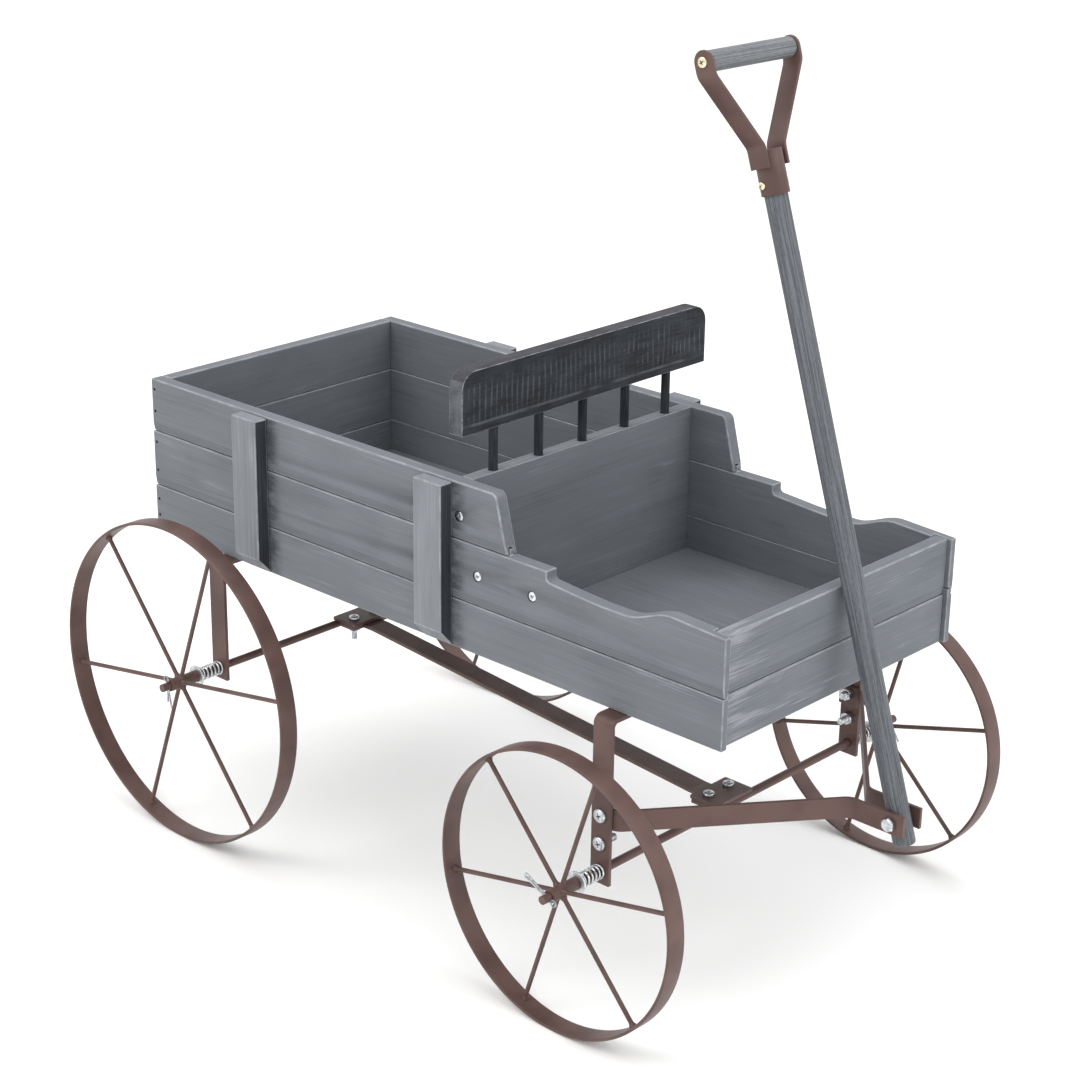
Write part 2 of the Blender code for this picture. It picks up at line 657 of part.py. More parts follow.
def hinge_bolt():
    face = POLE_R + POLE_PLAY + STRAP_T + GAP

    def place(y):
        return (PIVOT_X, y, DRAWBAR_Z)

    ends = place(-face - HINGE_HEAD_H / 2), place(face + HINGE_TAIL)
    bolt = cylinder("hinge_bolt", *ends, HINGE_BOLT_R, STEEL, sides=16)
    ends = place(-face - HINGE_HEAD_H), place(-face)
    head = cylinder("join_hinge_head", *ends, HINGE_HEAD_R, sides=6)
    combine(bolt, head, "UNION")
    nut = cylinder("hinge_nut", place(face), place(face + HINGE_NUT_H), HINGE_HEAD_R, STEEL, sides=6)
    bore = cylinder("cut_hinge_nut", place(0), place(face + PAST), HINGE_BOLT_R + GAP, sides=16)
    combine(nut, bore, "DIFFERENCE")


def handle():
    """Everything that swings on the hinge bolt, built upright and leaned back by its parent empty."""
    pivot = empty("handle_pivot", (PIVOT_X, 0, DRAWBAR_Z))
    pivot.rotation_euler = (0, -LEAN, 0)
    break_edge = 0.0012
    profile = [
        (0.0, POLE_TOP),
        (POLE_R - break_edge, POLE_TOP),
        (POLE_R, POLE_TOP - break_edge),
        (POLE_R, break_edge - POLE_TAIL),
        (POLE_R - break_edge, -POLE_TAIL),
        (0.0, -POLE_TAIL),
    ]
    pole = turned("handle_pole", profile, 20, WOOD)
    pole.parent = pivot
    bore = cylinder("cut_pole_bore", (0, -2 * PAST, 0), (0, 2 * PAST, 0), HINGE_BOLT_R + RUNNING_GAP, sides=16)
    bore.parent = pivot
    combine(pole, bore, "DIFFERENCE")

    sleeve = tube_profile(POLE_R + GAP, FERRULE_R, FERRULE_LOW, FERRULE_TOP)
    fork = turned("grip_fork", sleeve, 28, IRON)
    fork.parent = pivot
    foot_y = FERRULE_R - FOOT_SINK + ARM_T / 2
    for hand, side in (("right", -1), ("left", 1)):
        path = [
            (side * foot_y, FERRULE_TOP - FOOT_LAP),
            (side * foot_y, FERRULE_TOP + FOOT_OVER),
            (side * GRIP_ARM_Y, GRIP_AT - TIP_STRAIGHT),
            (side * GRIP_ARM_Y, GRIP_AT),
        ]
        outline = strap_outline(path, ARM_T, ARM_BEND_R)
        arm = extrusion(f"join_grip_arm_{hand}", outline, ARM_W, STAND_YZ, (0, 0, 0))
        arm.parent = pivot
        # The rounded end is a hair thicker than the arm, so that their faces don't lie in one plane.
        half = ARM_T / 2 + 0.00003
        ends = (0, side * (GRIP_ARM_Y - half), GRIP_AT), (0, side * (GRIP_ARM_Y + half), GRIP_AT)
        tip = cylinder(f"join_grip_tip_{hand}", *ends, ARM_W / 2, sides=32)
        tip.parent = pivot
        combine(fork, arm, "UNION")
        combine(fork, tip, "UNION")
    reach = GRIP_ARM_Y - ARM_T / 2 - GAP
    grip = cylinder("grip_bar", (0, -reach, GRIP_AT), (0, reach, GRIP_AT), GRIP_R, WOOD, sides=20)
    grip.parent = pivot


clear_scene()
PARTS = new_collection("garden_wagon_planter")
CUTTERS = new_collection("cutters")
WOOD = material("grey_wood", (0.21, 0.22, 0.24), 0.0, 0.75)
DARK_WOOD = material("dark_wood", (0.045, 0.047, 0.052), 0.0, 0.7)
IRON = material("brown_iron", (0.115, 0.075, 0.065), 0.6, 0.5)
STEEL = material("zinc_steel", (0.6, 0.6, 0.6), 1.0, 0.3)

side_planks()
end_planks()
seat_back(floors_and_divider())
battens()
for axle_values in AXLES:
    axle(*axle_values)
    axle_bracket(*axle_values[:3], LEG_BOLT_ZS if axle_values[0] == "front" else ())
reach_bar()
reach_bolts()
for wheel_name, wheel_values in WHEELS.items():
    wheel(wheel_name, *wheel_values)
drawbar()
hinge_bolt()
handle()
for part in PARTS.objects:
    if part.type == "MESH":
        part.data.shade_smooth()
        part.data.set_sharp_from_angle(angle=math.radians(35))
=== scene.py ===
"""Looks of the garden wagon planter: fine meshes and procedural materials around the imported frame.

Lengths are in metres, in the frame's own axes: +X is the way the wagon is pulled, +Z is up.
"""

import json
import math

import bmesh
import bpy
from mathutils import Matrix, Vector

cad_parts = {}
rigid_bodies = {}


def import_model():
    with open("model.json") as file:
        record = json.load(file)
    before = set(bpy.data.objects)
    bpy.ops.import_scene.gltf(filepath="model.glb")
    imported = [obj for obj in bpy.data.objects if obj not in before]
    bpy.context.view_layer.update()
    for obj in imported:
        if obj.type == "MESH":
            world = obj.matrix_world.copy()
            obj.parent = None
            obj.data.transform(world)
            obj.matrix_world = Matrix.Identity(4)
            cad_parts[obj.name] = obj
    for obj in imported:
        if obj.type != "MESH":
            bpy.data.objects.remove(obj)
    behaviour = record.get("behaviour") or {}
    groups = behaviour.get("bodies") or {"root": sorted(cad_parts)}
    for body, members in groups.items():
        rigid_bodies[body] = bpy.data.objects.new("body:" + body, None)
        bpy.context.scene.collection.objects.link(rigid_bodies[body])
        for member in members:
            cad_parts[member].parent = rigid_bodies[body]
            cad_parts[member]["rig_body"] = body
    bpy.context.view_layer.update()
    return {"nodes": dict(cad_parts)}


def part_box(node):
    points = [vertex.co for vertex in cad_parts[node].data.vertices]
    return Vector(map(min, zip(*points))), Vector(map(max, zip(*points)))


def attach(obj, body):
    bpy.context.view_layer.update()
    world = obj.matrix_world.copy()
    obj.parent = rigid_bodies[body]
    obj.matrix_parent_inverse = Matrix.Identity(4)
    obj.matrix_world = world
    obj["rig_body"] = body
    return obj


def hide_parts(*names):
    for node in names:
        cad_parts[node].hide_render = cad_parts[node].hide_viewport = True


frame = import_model()

MM = 0.001
WHEELS = {
    # name: (side of Y, angle of one spoke, way the cotter pin's tail points), in degrees
    "rear_right": (-1, 10.0, -80.0),
    "rear_left": (1, 10.0, -80.0),
    "front_right": (-1, 12.0, 155.0),
    "front_left": (1, 16.0, -60.0),
}
PIN_LEGS = {
    # name: (length, how far it spreads) of each leg of the cotter pin, in mm
    "rear_right": ((15.5, 0.7), (11.0, -2.2)),
    "rear_left": ((15.5, 1.3), (12.0, -2.0)),
    "front_right": ((20.5, 1.2), (20.0, -1.3)),
    "front_left": ((15.5, 0.9), (12.5, -1.8)),
}
SIDES = (("right", -1), ("left", 1))
CHASSIS = "chassis"
HANDLE = "handle"
X_AXIS, Y_AXIS, Z_AXIS = Vector((1, 0, 0)), Vector((0, 1, 0)), Vector((0, 0, 1))

# Ironwork and fasteners
AXLE_R = 2.8 * MM
RIM_THICK = 2.0 * MM
HUB_R = 4.2 * MM
SPOKES = 6
SPOKE_R = 1.5 * MM
SPOKE_Y = 163.5 * MM
STRAP_T = 2.5 * MM
SPRING_R = 4.3 * MM
SPRING_WIRE_R = 0.8 * MM
SPRING_TURNS = 6.5
PIN_WIRE_R = 0.65 * MM
PIN_EYE_R = 2.1 * MM
PIN_NECK = 3.0 * MM  # from the axle's middle to where the eye begins
LEG_BOLT_ZS = (112.0 * MM, 131.0 * MM)
HEAD_M4 = (3.8 * MM, 2.4 * MM)  # radius and height
HEAD_M5 = (4.5 * MM, 2.6 * MM)
SIDE_HEAD = (3.1 * MM, 1.3 * MM)
GRIP_HEAD = (3.2 * MM, 1.6 * MM)
FERRULE_HEAD = (2.5 * MM, 1.5 * MM)
M4_R = 2.0 * MM
M5_R = 2.5 * MM
NUT_M4_R = 4.1 * MM
NUT_M4_TALL = 3.2 * MM
NUT_M5_R = 4.6 * MM
NUT_M5_TALL = 4.0 * MM
HINGE_BOLT_R = 2.4 * MM
HINGE_NUT_R = 4.7 * MM
HINGE_HEAD_TALL = 3.2 * MM
REACH_BOLT_PAST = 4.0 * MM  # how far a reach bolt goes past the CAD's
SCREW_HOLE_R = 3.5 * MM
SCREW_HOLE_DEEP = 1.3 * MM
# Screws of a side: how far ahead of the rear axle, how high, and in which plank
SIDE_SCREWS = (
    (225.3 * MM, 285.5 * MM, "top"),
    (241.4 * MM, 249.5 * MM, "middle"),
    (288.4 * MM, 249.7 * MM, "middle"),
)
NAIL_R = 1.1 * MM
NAIL_BEHIND = 76.6 * MM  # behind the rear axle
NAIL_ZS = (300.6 * MM, 284.7 * MM, 261.8 * MM, 240.9 * MM, 219.2 * MM, 207.1 * MM)
# Handle, measured along the pole from its hinge
POLE_R = 7.1 * MM
POLE_LOW = -16.5 * MM
POLE_TOP = 409.0 * MM
FERRULE_LOW = 384.5 * MM
FERRULE_TOP = 411.2 * MM
FERRULE_R = 8.6 * MM
FERRULE_SCREW_UP = 6.5 * MM  # above the ferrule's lower end
FERRULE_SCREW_TURN = -14.0  # degrees about the pole
ARM_W = 13.8 * MM
ARM_T = 2.2 * MM
ARM_BEND_R = 9.0 * MM
# Camera and lights
CAMERA_AT = (1.02426, -1.10477, 0.80728)
CAMERA_ANGLES = (42.9883, 20.9811, 0.8031)  # azimuth, elevation and roll, in degrees
CAMERA_LENS = 79.96
LIGHTS = {
    # name: (place, size, power, colour)
    "key": ((-0.9, -2.2, 2.6), 1.6, 34, (1.0, 0.985, 0.96)),
    "front": ((2.4, 0.6, 1.6), 1.6, 14, (0.96, 0.98, 1.0)),
    "top": ((0.2, 0.4, 3.0), 2.6, 26, (1.0, 1.0, 1.0)),
}
LIGHT_AIM = (0, 0, 0.2)
WORLD_STRENGTH = 1.04


def middle(node):
    low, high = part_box(node)
    return (low + high) / 2


HINGE = middle("hinge_nut").xz
PIVOT = Vector((HINGE.x, 0, HINGE.y))
GRIP_REACH = middle("grip_bar") - PIVOT
GRIP_AT = GRIP_REACH.length
HANDLE_PLACE = Matrix.Translation(PIVOT) @ Matrix.Rotation(math.atan2(GRIP_REACH.x, GRIP_REACH.z), 4, "Y")


# ---------------------------------------------------------------- materials


def srgb(red, green, blue):
    """A display colour in 0 to 255 as the linear colour that nodes take."""
    return tuple((value / 255) ** 2.2 for value in (red, green, blue)) + (1.0,)


class Finish:
    """A Principled material with short ways to add and join nodes."""

    def __init__(self, name, **sockets):
        self.material = bpy.data.materials.new(name)
        self.material.use_nodes = True
        self.tree = self.material.node_tree
        self.shader = self.tree.nodes["Principled BSDF"]
        for socket, value in sockets.items():
            self.feed(self.shader.inputs[socket.replace("_", " ")], value)

    def feed(self, socket, value):
        if isinstance(value, bpy.types.NodeSocket):
            self.tree.links.new(value, socket)
        else:
            socket.default_value = value

    def node(self, kind, inputs, **settings):
        made = self.tree.nodes.new(kind)
        for key, value in settings.items():
            setattr(made, key, value)
        for key, value in inputs.items():
            self.feed(made.inputs[key], value)
        return made

    def grain_place(self):
        return self.node("ShaderNodeAttribute", {}, attribute_name="grain").outputs["Vector"]

    def board_place(self):
        """-1 to 1 across the board's box: along the grain, then across it twice."""
        return self.node("ShaderNodeAttribute", {}, attribute_name="board").outputs["Vector"]

    def object_place(self):
        return self.node("ShaderNodeTexCoord", {}).outputs["Object"]

    def noise(self, place, cell, detail=3.0, roughness=0.55, shift=0.0):
        """Noise from 0 to 1, with features about as large as cell, given in metres for each axis."""
        scale = tuple(1 / size for size in cell)
        where = self.node("ShaderNodeMapping", {"Vector": place, "Scale": scale, "Location": (shift,) * 3})
        inputs = {"Vector": where.outputs[0], "Scale": 1.0, "Detail": detail, "Roughness": roughness}
        return self.node("ShaderNodeTexNoise", inputs).outputs["Fac"]

    def spread(self, value, low, high, to_low=0.0, to_high=1.0):
        inputs = {"Value": value, "From Min": low, "From Max": high, "To Min": to_low, "To Max": to_high}
        return self.node("ShaderNodeMapRange", inputs, interpolation_type="SMOOTHSTEP").outputs[0]

    def maths(self, operation, first, second=0.0):
        return self.node("ShaderNodeMath", {0: first, 1: second}, operation=operation).outputs[0]

    def part(self, vector, axis):
        return self.node("ShaderNodeSeparateXYZ", {0: vector}).outputs[axis]

    def blend(self, share, first, second):
        inputs = {0: share, 6: first, 7: second}
        return self.node("ShaderNodeMix", inputs, data_type="RGBA").outputs[2]

    def bump(self, height, distance, strength=1.0):
        inputs = {"Height": height, "Distance": distance, "Strength": strength}
        normal = self.node("ShaderNodeBump", inputs).outputs["Normal"]
        self.feed(self.shader.inputs["Normal"], normal)


def worn_wood(name, dark, base, light, wisps, edges=0.0, worn_end=0.0, batten_shadow=0.0):
    """Stained board: fine long grain, soft blotches and a few pale dry-brushed wisps.

    worn_end thickens the wisps towards the board's low end. The last argument is painted shade: the battens'
    cast shadow, a ragged darker band on the board's outer face just ahead of each batten.
    """
    finish = Finish(name, Specular_IOR_Level=0.3)
    place, board = finish.grain_place(), finish.board_place()
    fibre = finish.noise(place, (55 * MM, 0.7 * MM, 0.7 * MM), 4.0, 0.65)
    streak = finish.noise(place, (170 * MM, 3.6 * MM, 3.6 * MM), 3.0, 0.6, 3.1)
    blotch = finish.noise(place, (60 * MM, 22 * MM, 22 * MM), 2.0, 0.5, 7.7)
    speck = finish.noise(place, (1.6 * MM, 0.9 * MM, 0.9 * MM), 2.0, 0.6, 1.3)
    fine = finish.maths("ADD", finish.maths("MULTIPLY", fibre, 0.55), finish.maths("MULTIPLY", streak, 0.45))
    tone = finish.maths("ADD", finish.maths("MULTIPLY", fine, 0.6), finish.maths("MULTIPLY", blotch, 0.4))
    low = finish.spread(tone, 0.34, 0.50)
    high = finish.spread(tone, 0.50, 0.68)
    colour = finish.blend(high, finish.blend(low, dark, base), light)
    pores = finish.noise(place, (9 * MM, 0.5 * MM, 0.5 * MM), 2.0, 0.5, 8.8)
    pore = finish.spread(pores, 0.66, 0.78, 0.0, 0.35)
    colour = finish.blend(pore, colour, tuple(0.6 * value for value in dark[:3]) + (1.0,))
    brushed = finish.noise(place, (38 * MM, 0.9 * MM, 0.9 * MM), 3.0, 0.7, 5.5)
    patch = finish.noise(place, (75 * MM, 11 * MM, 11 * MM), 2.0, 0.5, 9.9)
    reach = finish.spread(patch, 0.48, 0.75, 0.0, 0.2)
    if worn_end:
        away = finish.maths("MULTIPLY", finish.part(board, 0), -1.0)
        reach = finish.maths("ADD", reach, finish.spread(away, 0.35, 1.0, 0.0, worn_end))
    wisp = finish.spread(finish.maths("ADD", brushed, reach), 0.66, 0.88, 0.0, wisps)
    colour = finish.blend(wisp, colour, srgb(168, 170, 174))
    # Painted shadow: darkens the side planks' outer face just ahead of each batten, where the batten's cast
    # shadow falls.
    if batten_shadow:
        ahead = finish.part(finish.object_place(), 0)
        outward = finish.maths("ABSOLUTE", finish.part(finish.object_place(), 1))
        outside = finish.maths("GREATER_THAN", outward, SIDE_FACE_Y - 1.7 * MM)
        ragged = finish.spread(finish.noise(place, (16 * MM, 7 * MM, 7 * MM), 4.0, 0.65, 4.2), 0.28, 0.66)
        for edge_x in BATTEN_FRONTS:
            fade = finish.spread(ahead, edge_x + 3 * MM, edge_x + 15 * MM, 1.0, 0.0)
            begun = finish.maths("GREATER_THAN", ahead, edge_x - 1 * MM)
            batten_shadow_mask = finish.maths("MULTIPLY", finish.maths("MULTIPLY", fade, begun), ragged)
            batten_shadow_mask = finish.maths("MULTIPLY", batten_shadow_mask, outside)
            colour = finish.blend(finish.maths("MULTIPLY", batten_shadow_mask, batten_shadow), colour, srgb(52, 55, 60))
    if edges:
        rub = finish.noise(place, (14 * MM, 5 * MM, 5 * MM), 3.0, 0.7, 2.2)
        colour = finish.blend(finish.spread(rub, 0.36, 0.66, 0.1, edges), colour, srgb(184, 186, 190))
    finish.feed(finish.shader.inputs["Base Color"], colour)
    finish.feed(finish.shader.inputs["Roughness"], finish.spread(fibre, 0.3, 0.7, 0.86, 0.66))
    height = finish.maths("ADD", finish.maths("MULTIPLY", fibre, 0.7), finish.maths("MULTIPLY", speck, 0.3))
    finish.bump(height, 0.3 * MM, 0.5)
    return finish.material


def seat_wood(name, dark, light, saw_share=0.0, edges=0.0):
    """Near-black rail. saw_share sets how strongly regular saw marks cross its grain."""
    finish = Finish(name, Specular_IOR_Level=0.22)
    place, board = finish.grain_place(), finish.board_place()
    fibre = finish.noise(place, (16 * MM, 0.9 * MM, 0.9 * MM), 4.0, 0.65)
    cloud = finish.noise(place, (24 * MM, 14 * MM, 14 * MM), 3.0, 0.55, 4.4)
    tone = finish.maths("ADD", finish.maths("MULTIPLY", fibre, 0.4), finish.maths("MULTIPLY", cloud, 0.6))
    colour = finish.blend(finish.spread(tone, 0.36, 0.64), dark, light)
    if saw_share:
        wander = finish.noise(place, (30 * MM, 60 * MM, 60 * MM), 1.0, 0.5, 6.6)
        turns = finish.maths("DIVIDE", finish.part(place, 0), 4.8 * MM)
        turns = finish.maths("ADD", turns, finish.maths("MULTIPLY", wander, 1.6))
        wave = finish.maths("SINE", finish.maths("MULTIPLY", turns, 2 * math.pi))
        height = finish.maths("ABSOLUTE", finish.part(board, 1))
        inner = finish.spread(height, 0.25, 0.92, 1.0, 0.0)
        patchy = finish.spread(finish.noise(place, (18 * MM, 9 * MM, 9 * MM), 2.0, 0.5, 8.1), 0.34, 0.62)
        where = finish.maths("MULTIPLY", inner, patchy)
        mark = finish.maths("MULTIPLY", finish.spread(wave, 0.35, 1.0), where)
        colour = finish.blend(finish.maths("MULTIPLY", mark, saw_share), colour, srgb(112, 115, 119))
        low_line = finish.maths("ABSOLUTE", finish.maths("ADD", finish.part(board, 1), 0.72))
        line = finish.maths("MULTIPLY", finish.spread(low_line, 0.02, 0.07, 0.3, 0.0), patchy)
        colour = finish.blend(line, colour, srgb(120, 122, 126))
    if edges:
        rub = finish.noise(place, (9 * MM, 4 * MM, 4 * MM), 3.0, 0.7, 2.2)
        colour = finish.blend(finish.spread(rub, 0.36, 0.60, 0.05, edges), colour, srgb(170, 172, 176))
    finish.feed(finish.shader.inputs["Base Color"], colour)
    finish.feed(finish.shader.inputs["Roughness"], finish.spread(fibre, 0.3, 0.7, 0.85, 0.65))
    finish.bump(fibre, 0.25 * MM, 0.5)
    return finish.material


def handle_wood(name, dark, light, grain):
    """Turned pole and grip: a blue-grey stain with dark pores. grain is how long its streaks are."""
    finish = Finish(name, Specular_IOR_Level=0.35)
    place = finish.grain_place()
    fibre = finish.noise(place, (grain, 0.9 * MM, 0.9 * MM), 3.0, 0.6)
    speck = finish.noise(place, (3.2 * MM, 1.1 * MM, 1.1 * MM), 3.0, 0.6, 3.1)
    tone = finish.maths("ADD", finish.maths("MULTIPLY", fibre, 0.75), finish.maths("MULTIPLY", speck, 0.25))
    colour = finish.blend(finish.spread(tone, 0.34, 0.66), dark, light)
    pores = finish.noise(place, (grain / 4, 0.45 * MM, 0.45 * MM), 2.0, 0.5, 8.8)
    pore = finish.spread(pores, 0.64, 0.8, 0.0, 0.45)
    colour = finish.blend(pore, colour, srgb(50, 52, 57))
    finish.feed(finish.shader.inputs["Base Color"], colour)
    finish.feed(finish.shader.inputs["Roughness"], finish.spread(fibre, 0.3, 0.7, 0.66, 0.5))
    finish.bump(fibre, 0.15 * MM, 0.4)
    return finish.material


def powder_coat():
    """Satin brown paint on iron, with the faint orange peel of a sprayed coat."""
    finish = Finish("brown_powder_coat", Specular_IOR_Level=0.38)
    place = finish.object_place()
    cloud = finish.noise(place, (30 * MM,) * 3, 2.0, 0.5)
    grit = finish.noise(place, (0.5 * MM,) * 3, 2.0, 0.6, 2.0)
    colour = finish.blend(finish.spread(cloud, 0.35, 0.65), srgb(82, 62, 58), srgb(96, 74, 69))
    finish.feed(finish.shader.inputs["Base Color"], colour)
    finish.feed(finish.shader.inputs["Roughness"], finish.spread(grit, 0.3, 0.7, 0.38, 0.5))
    peel = finish.noise(place, (1.3 * MM,) * 3, 2.0, 0.5, 5.0)
    finish.bump(finish.maths("ADD", peel, finish.maths("MULTIPLY", grit, 0.4)), 0.06 * MM, 0.7)
    return finish.material


def metal(name, dull, bright, rough_low, rough_high):
    """Plated fastener steel: cloudy plating and fine tool marks."""
    finish = Finish(name, Metallic=1.0)
    place = finish.object_place()
    cloud = finish.noise(place, (2.5 * MM,) * 3, 3.0, 0.6)
    scratch = finish.noise(place, (0.25 * MM,) * 3, 2.0, 0.6, 4.0)
    colour = finish.blend(finish.spread(cloud, 0.35, 0.65), dull, bright)
    finish.feed(finish.shader.inputs["Base Color"], colour)
    finish.feed(finish.shader.inputs["Roughness"], finish.spread(scratch, 0.3, 0.7, rough_low, rough_high))
    finish.bump(scratch, 0.02 * MM, 0.5)
    return finish.material


def dark_hole():
    # Near-black with a faint mottle: painted shade on the walls of the screw holes, and the dark colour of
    # the nail heads.
    finish = Finish("hole_painted_shade_and_nail_heads", Specular_IOR_Level=0.1)
    place = finish.object_place()
    grime_and_shade = finish.noise(place, (1.2 * MM,) * 3, 3.0, 0.6)
    finish.feed(finish.shader.inputs["Base Color"], finish.blend(grime_and_shade, srgb(14, 14, 16), srgb(40, 41, 44)))
    finish.feed(finish.shader.inputs["Roughness"], 0.9)
    return finish.material


def pale_floor():
    finish = Finish("studio_floor", Roughness=0.55, Specular_IOR_Level=0.15, Emission_Strength=0.035)
    finish.feed(finish.shader.inputs["Emission Color"], (1.0, 1.0, 1.0, 1.0))
    place = finish.object_place()
    cloud = finish.noise(place, (0.9, 0.9, 0.9), 2.0, 0.5)
    colour = finish.blend(cloud, (0.95, 0.95, 0.945, 1), (0.96, 0.96, 0.955, 1))
    finish.feed(finish.shader.inputs["Base Color"], colour)
    return finish.material


BATTEN_FRONTS = [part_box(f"{end}_batten_right")[1].x for end in ("rear", "front")]
SIDE_FACE_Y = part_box("side_plank_left_bottom")[1].y
GREY_TONES = srgb(98, 102, 107), srgb(108, 112, 117), srgb(118, 121, 126)
GREY = worn_wood("grey_wash", *GREY_TONES, 0.3)
# The side planks carry the battens' painted shadow.
GREY_SIDE = worn_wood("grey_wash_side", *GREY_TONES, 0.28, batten_shadow=0.75)
GREY_FRONT = worn_wood("grey_wash_front", *GREY_TONES, 0.55, worn_end=0.2)
EDGE_TONES = srgb(104, 107, 112), srgb(118, 121, 126), srgb(132, 135, 140)
GREY_EDGE = worn_wood("grey_wash_worn_edge", *EDGE_TONES, 0.3, 0.4)
# Painted shade: a slightly darker, plainer copy of the grey wash for the downward-facing groove bands.
SHADE_TONES = srgb(92, 96, 101), srgb(102, 106, 111), srgb(112, 116, 121)
GROOVE_PAINTED_SHADE = worn_wood("grey_wash_groove_painted_shade", *SHADE_TONES, 0.15)
BATTEN = worn_wood("grey_wash_batten", srgb(104, 107, 112), srgb(120, 123, 128), srgb(134, 137, 142), 0.4)
# Painted shade: a near-black copy of the batten wood for the battens' side faces.
BATTEN_SIDE_PAINTED_SHADE = worn_wood("grey_wash_batten_side_painted_shade", srgb(36, 38, 42), srgb(54, 57, 62), srgb(76, 79, 84), 0.15)
SEAT = seat_wood("seat_stain", srgb(38, 40, 44), srgb(52, 55, 60), 0.3)
SEAT_EDGE = seat_wood("seat_stain_worn_edge", srgb(58, 59, 63), srgb(84, 85, 90), 0.0, 0.5)
# Painted light: lighter copies of the rail's stain for its top faces and its end faces.
SEAT_PAINTED_TOP_LIGHT = seat_wood("seat_stain_painted_top_light", srgb(54, 54, 59), srgb(72, 72, 78))
SEAT_PAINTED_END_LIGHT = seat_wood("seat_stain_painted_end_light", srgb(58, 61, 65), srgb(92, 95, 99))
SEAT_POST = seat_wood("seat_stain_post", srgb(32, 34, 38), srgb(54, 57, 62))
POLE_WOOD = handle_wood("pole_wood", srgb(70, 73, 78), srgb(107, 110, 115), 60 * MM)
GRIP_WOOD = handle_wood("grip_wood", srgb(86, 90, 94), srgb(127, 130, 134), 120 * MM)
IRON = powder_coat()
ZINC = metal("bright_zinc", srgb(176, 180, 184), srgb(222, 225, 228), 0.18, 0.36)
WASHER_ZINC = metal("satin_zinc", srgb(200, 203, 206), srgb(228, 231, 233), 0.42, 0.55)
PIN_ZINC = metal("dull_zinc", srgb(128, 131, 135), srgb(182, 185, 189), 0.3, 0.45)
# Painted shade: a darker copy of the zinc for the hollow of each screw head's cross recess.
ZINC_RECESS_PAINTED_SHADE = metal("zinc_painted_recess_shade", srgb(130, 133, 137), srgb(176, 179, 183), 0.3, 0.5)
BRASS = metal("yellow_zinc", srgb(204, 192, 156), srgb(240, 232, 204), 0.25, 0.4)
# Painted shade: a darker copy of the yellow zinc for the brass screws' cross recesses.
BRASS_RECESS_PAINTED_SHADE = metal("yellow_zinc_painted_recess_shade", srgb(84, 70, 50), srgb(140, 122, 88), 0.4, 0.6)
HOLE_SHADE_AND_NAIL_DARK = dark_hole()
SIDE_SET = (GREY_SIDE, GREY_EDGE, GROOVE_PAINTED_SHADE)

# ---------------------------------------------------------------- mesh tools


def link(name, mesh, *materials):
    obj = bpy.data.objects.new(name, mesh)
    bpy.context.scene.collection.objects.link(obj)
    for material in materials:
        mesh.materials.append(material)
    return obj


def mesh_from(name, bm, sharp=35):
    bmesh.ops.recalc_face_normals(bm, faces=bm.faces)
    mesh = bpy.data.meshes.new(name)
    bm.to_mesh(mesh)
    bm.free()
    mesh.shade_smooth()
    mesh.set_sharp_from_angle(angle=math.radians(sharp))
    return mesh


def own(obj, body, slot, *nodes):
    """obj moves with body and stands for the nodes, whose CAD parts it hides. slot is not used."""
    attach(obj, body)
    if nodes:
        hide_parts(*nodes)
    return obj


def mark_grain(obj, along, seed):
    """Stores each point's place along and across the grain, and its share of the board's box."""
    mesh = obj.data
    axes = [along] + [axis for axis in (Z_AXIS, Y_AXIS, X_AXIS) if abs(axis.dot(along)) < 0.5]
    spots = [[point.co.dot(axis) for axis in axes] for point in mesh.vertices]
    lows = [min(spot[i] for spot in spots) for i in range(3)]
    highs = [max(spot[i] for spot in spots) for i in range(3)]
    grain = mesh.attributes.new("grain", "FLOAT_VECTOR", "POINT")
    board = mesh.attributes.new("board", "FLOAT_VECTOR", "POINT")
    for index, spot in enumerate(spots):
        grain.data[index].vector = [value + seed * step for value, step in zip(spot, (0.37, 0.053, 0.071))]
        board.data[index].vector = [2 * (v - a) / (b - a) - 1 for v, a, b in zip(spot, lows, highs)]


def refined(node, suffix, width, segments=3, limit=38, flat=1.0):
    """A copy of a CAD node as clean faces, with its edges rounded by width. The bevel takes material 1."""
    source = frame["nodes"][node].data
    bm = bmesh.new()
    bm.from_mesh(source)
    bmesh.ops.remove_doubles(bm, verts=bm.verts, dist=2e-6)
    bmesh.ops.dissolve_limit(bm, angle_limit=math.radians(flat), verts=bm.verts, edges=bm.edges)
    for face in bm.faces:
        face.material_index = 0
    mesh = mesh_from(f"{node}_{suffix}", bm, 180)
    obj = link(f"{node}_{suffix}", mesh)
    bevel = obj.modifiers.new("rounded edges", "BEVEL")
    bevel.width = width
    bevel.segments = segments
    bevel.limit_method = "ANGLE"
    bevel.angle_limit = math.radians(limit)
    bevel.material = 1
    even = obj.modifiers.new("even shading", "WEIGHTED_NORMAL")
    even.keep_sharp = True
    return obj


def revolve(bm, profile, steps, place=Matrix.Identity(4)):
    """Turns (radius, height) points about local Z. A point on the axis closes the end."""
    rings = []
    for radius, height in profile:
        if radius < 1e-7:
            rings.append([bm.verts.new(place @ Vector((0, 0, height)))])
            continue
        angles = [2 * math.pi * step / steps for step in range(steps)]
        points = [Vector((radius * math.cos(a), radius * math.sin(a), height)) for a in angles]
        rings.append([bm.verts.new(place @ point) for point in points])
    for first, second in zip(rings, rings[1:]):
        for step in range(steps):
            after = (step + 1) % steps
            if len(first) == 1:
                bm.faces.new((first[0], second[step], second[after]))
            elif len(second) == 1:
                bm.faces.new((first[step], first[after], second[0]))
            else:
                bm.faces.new((first[step], first[after], second[after], second[step]))
    return rings


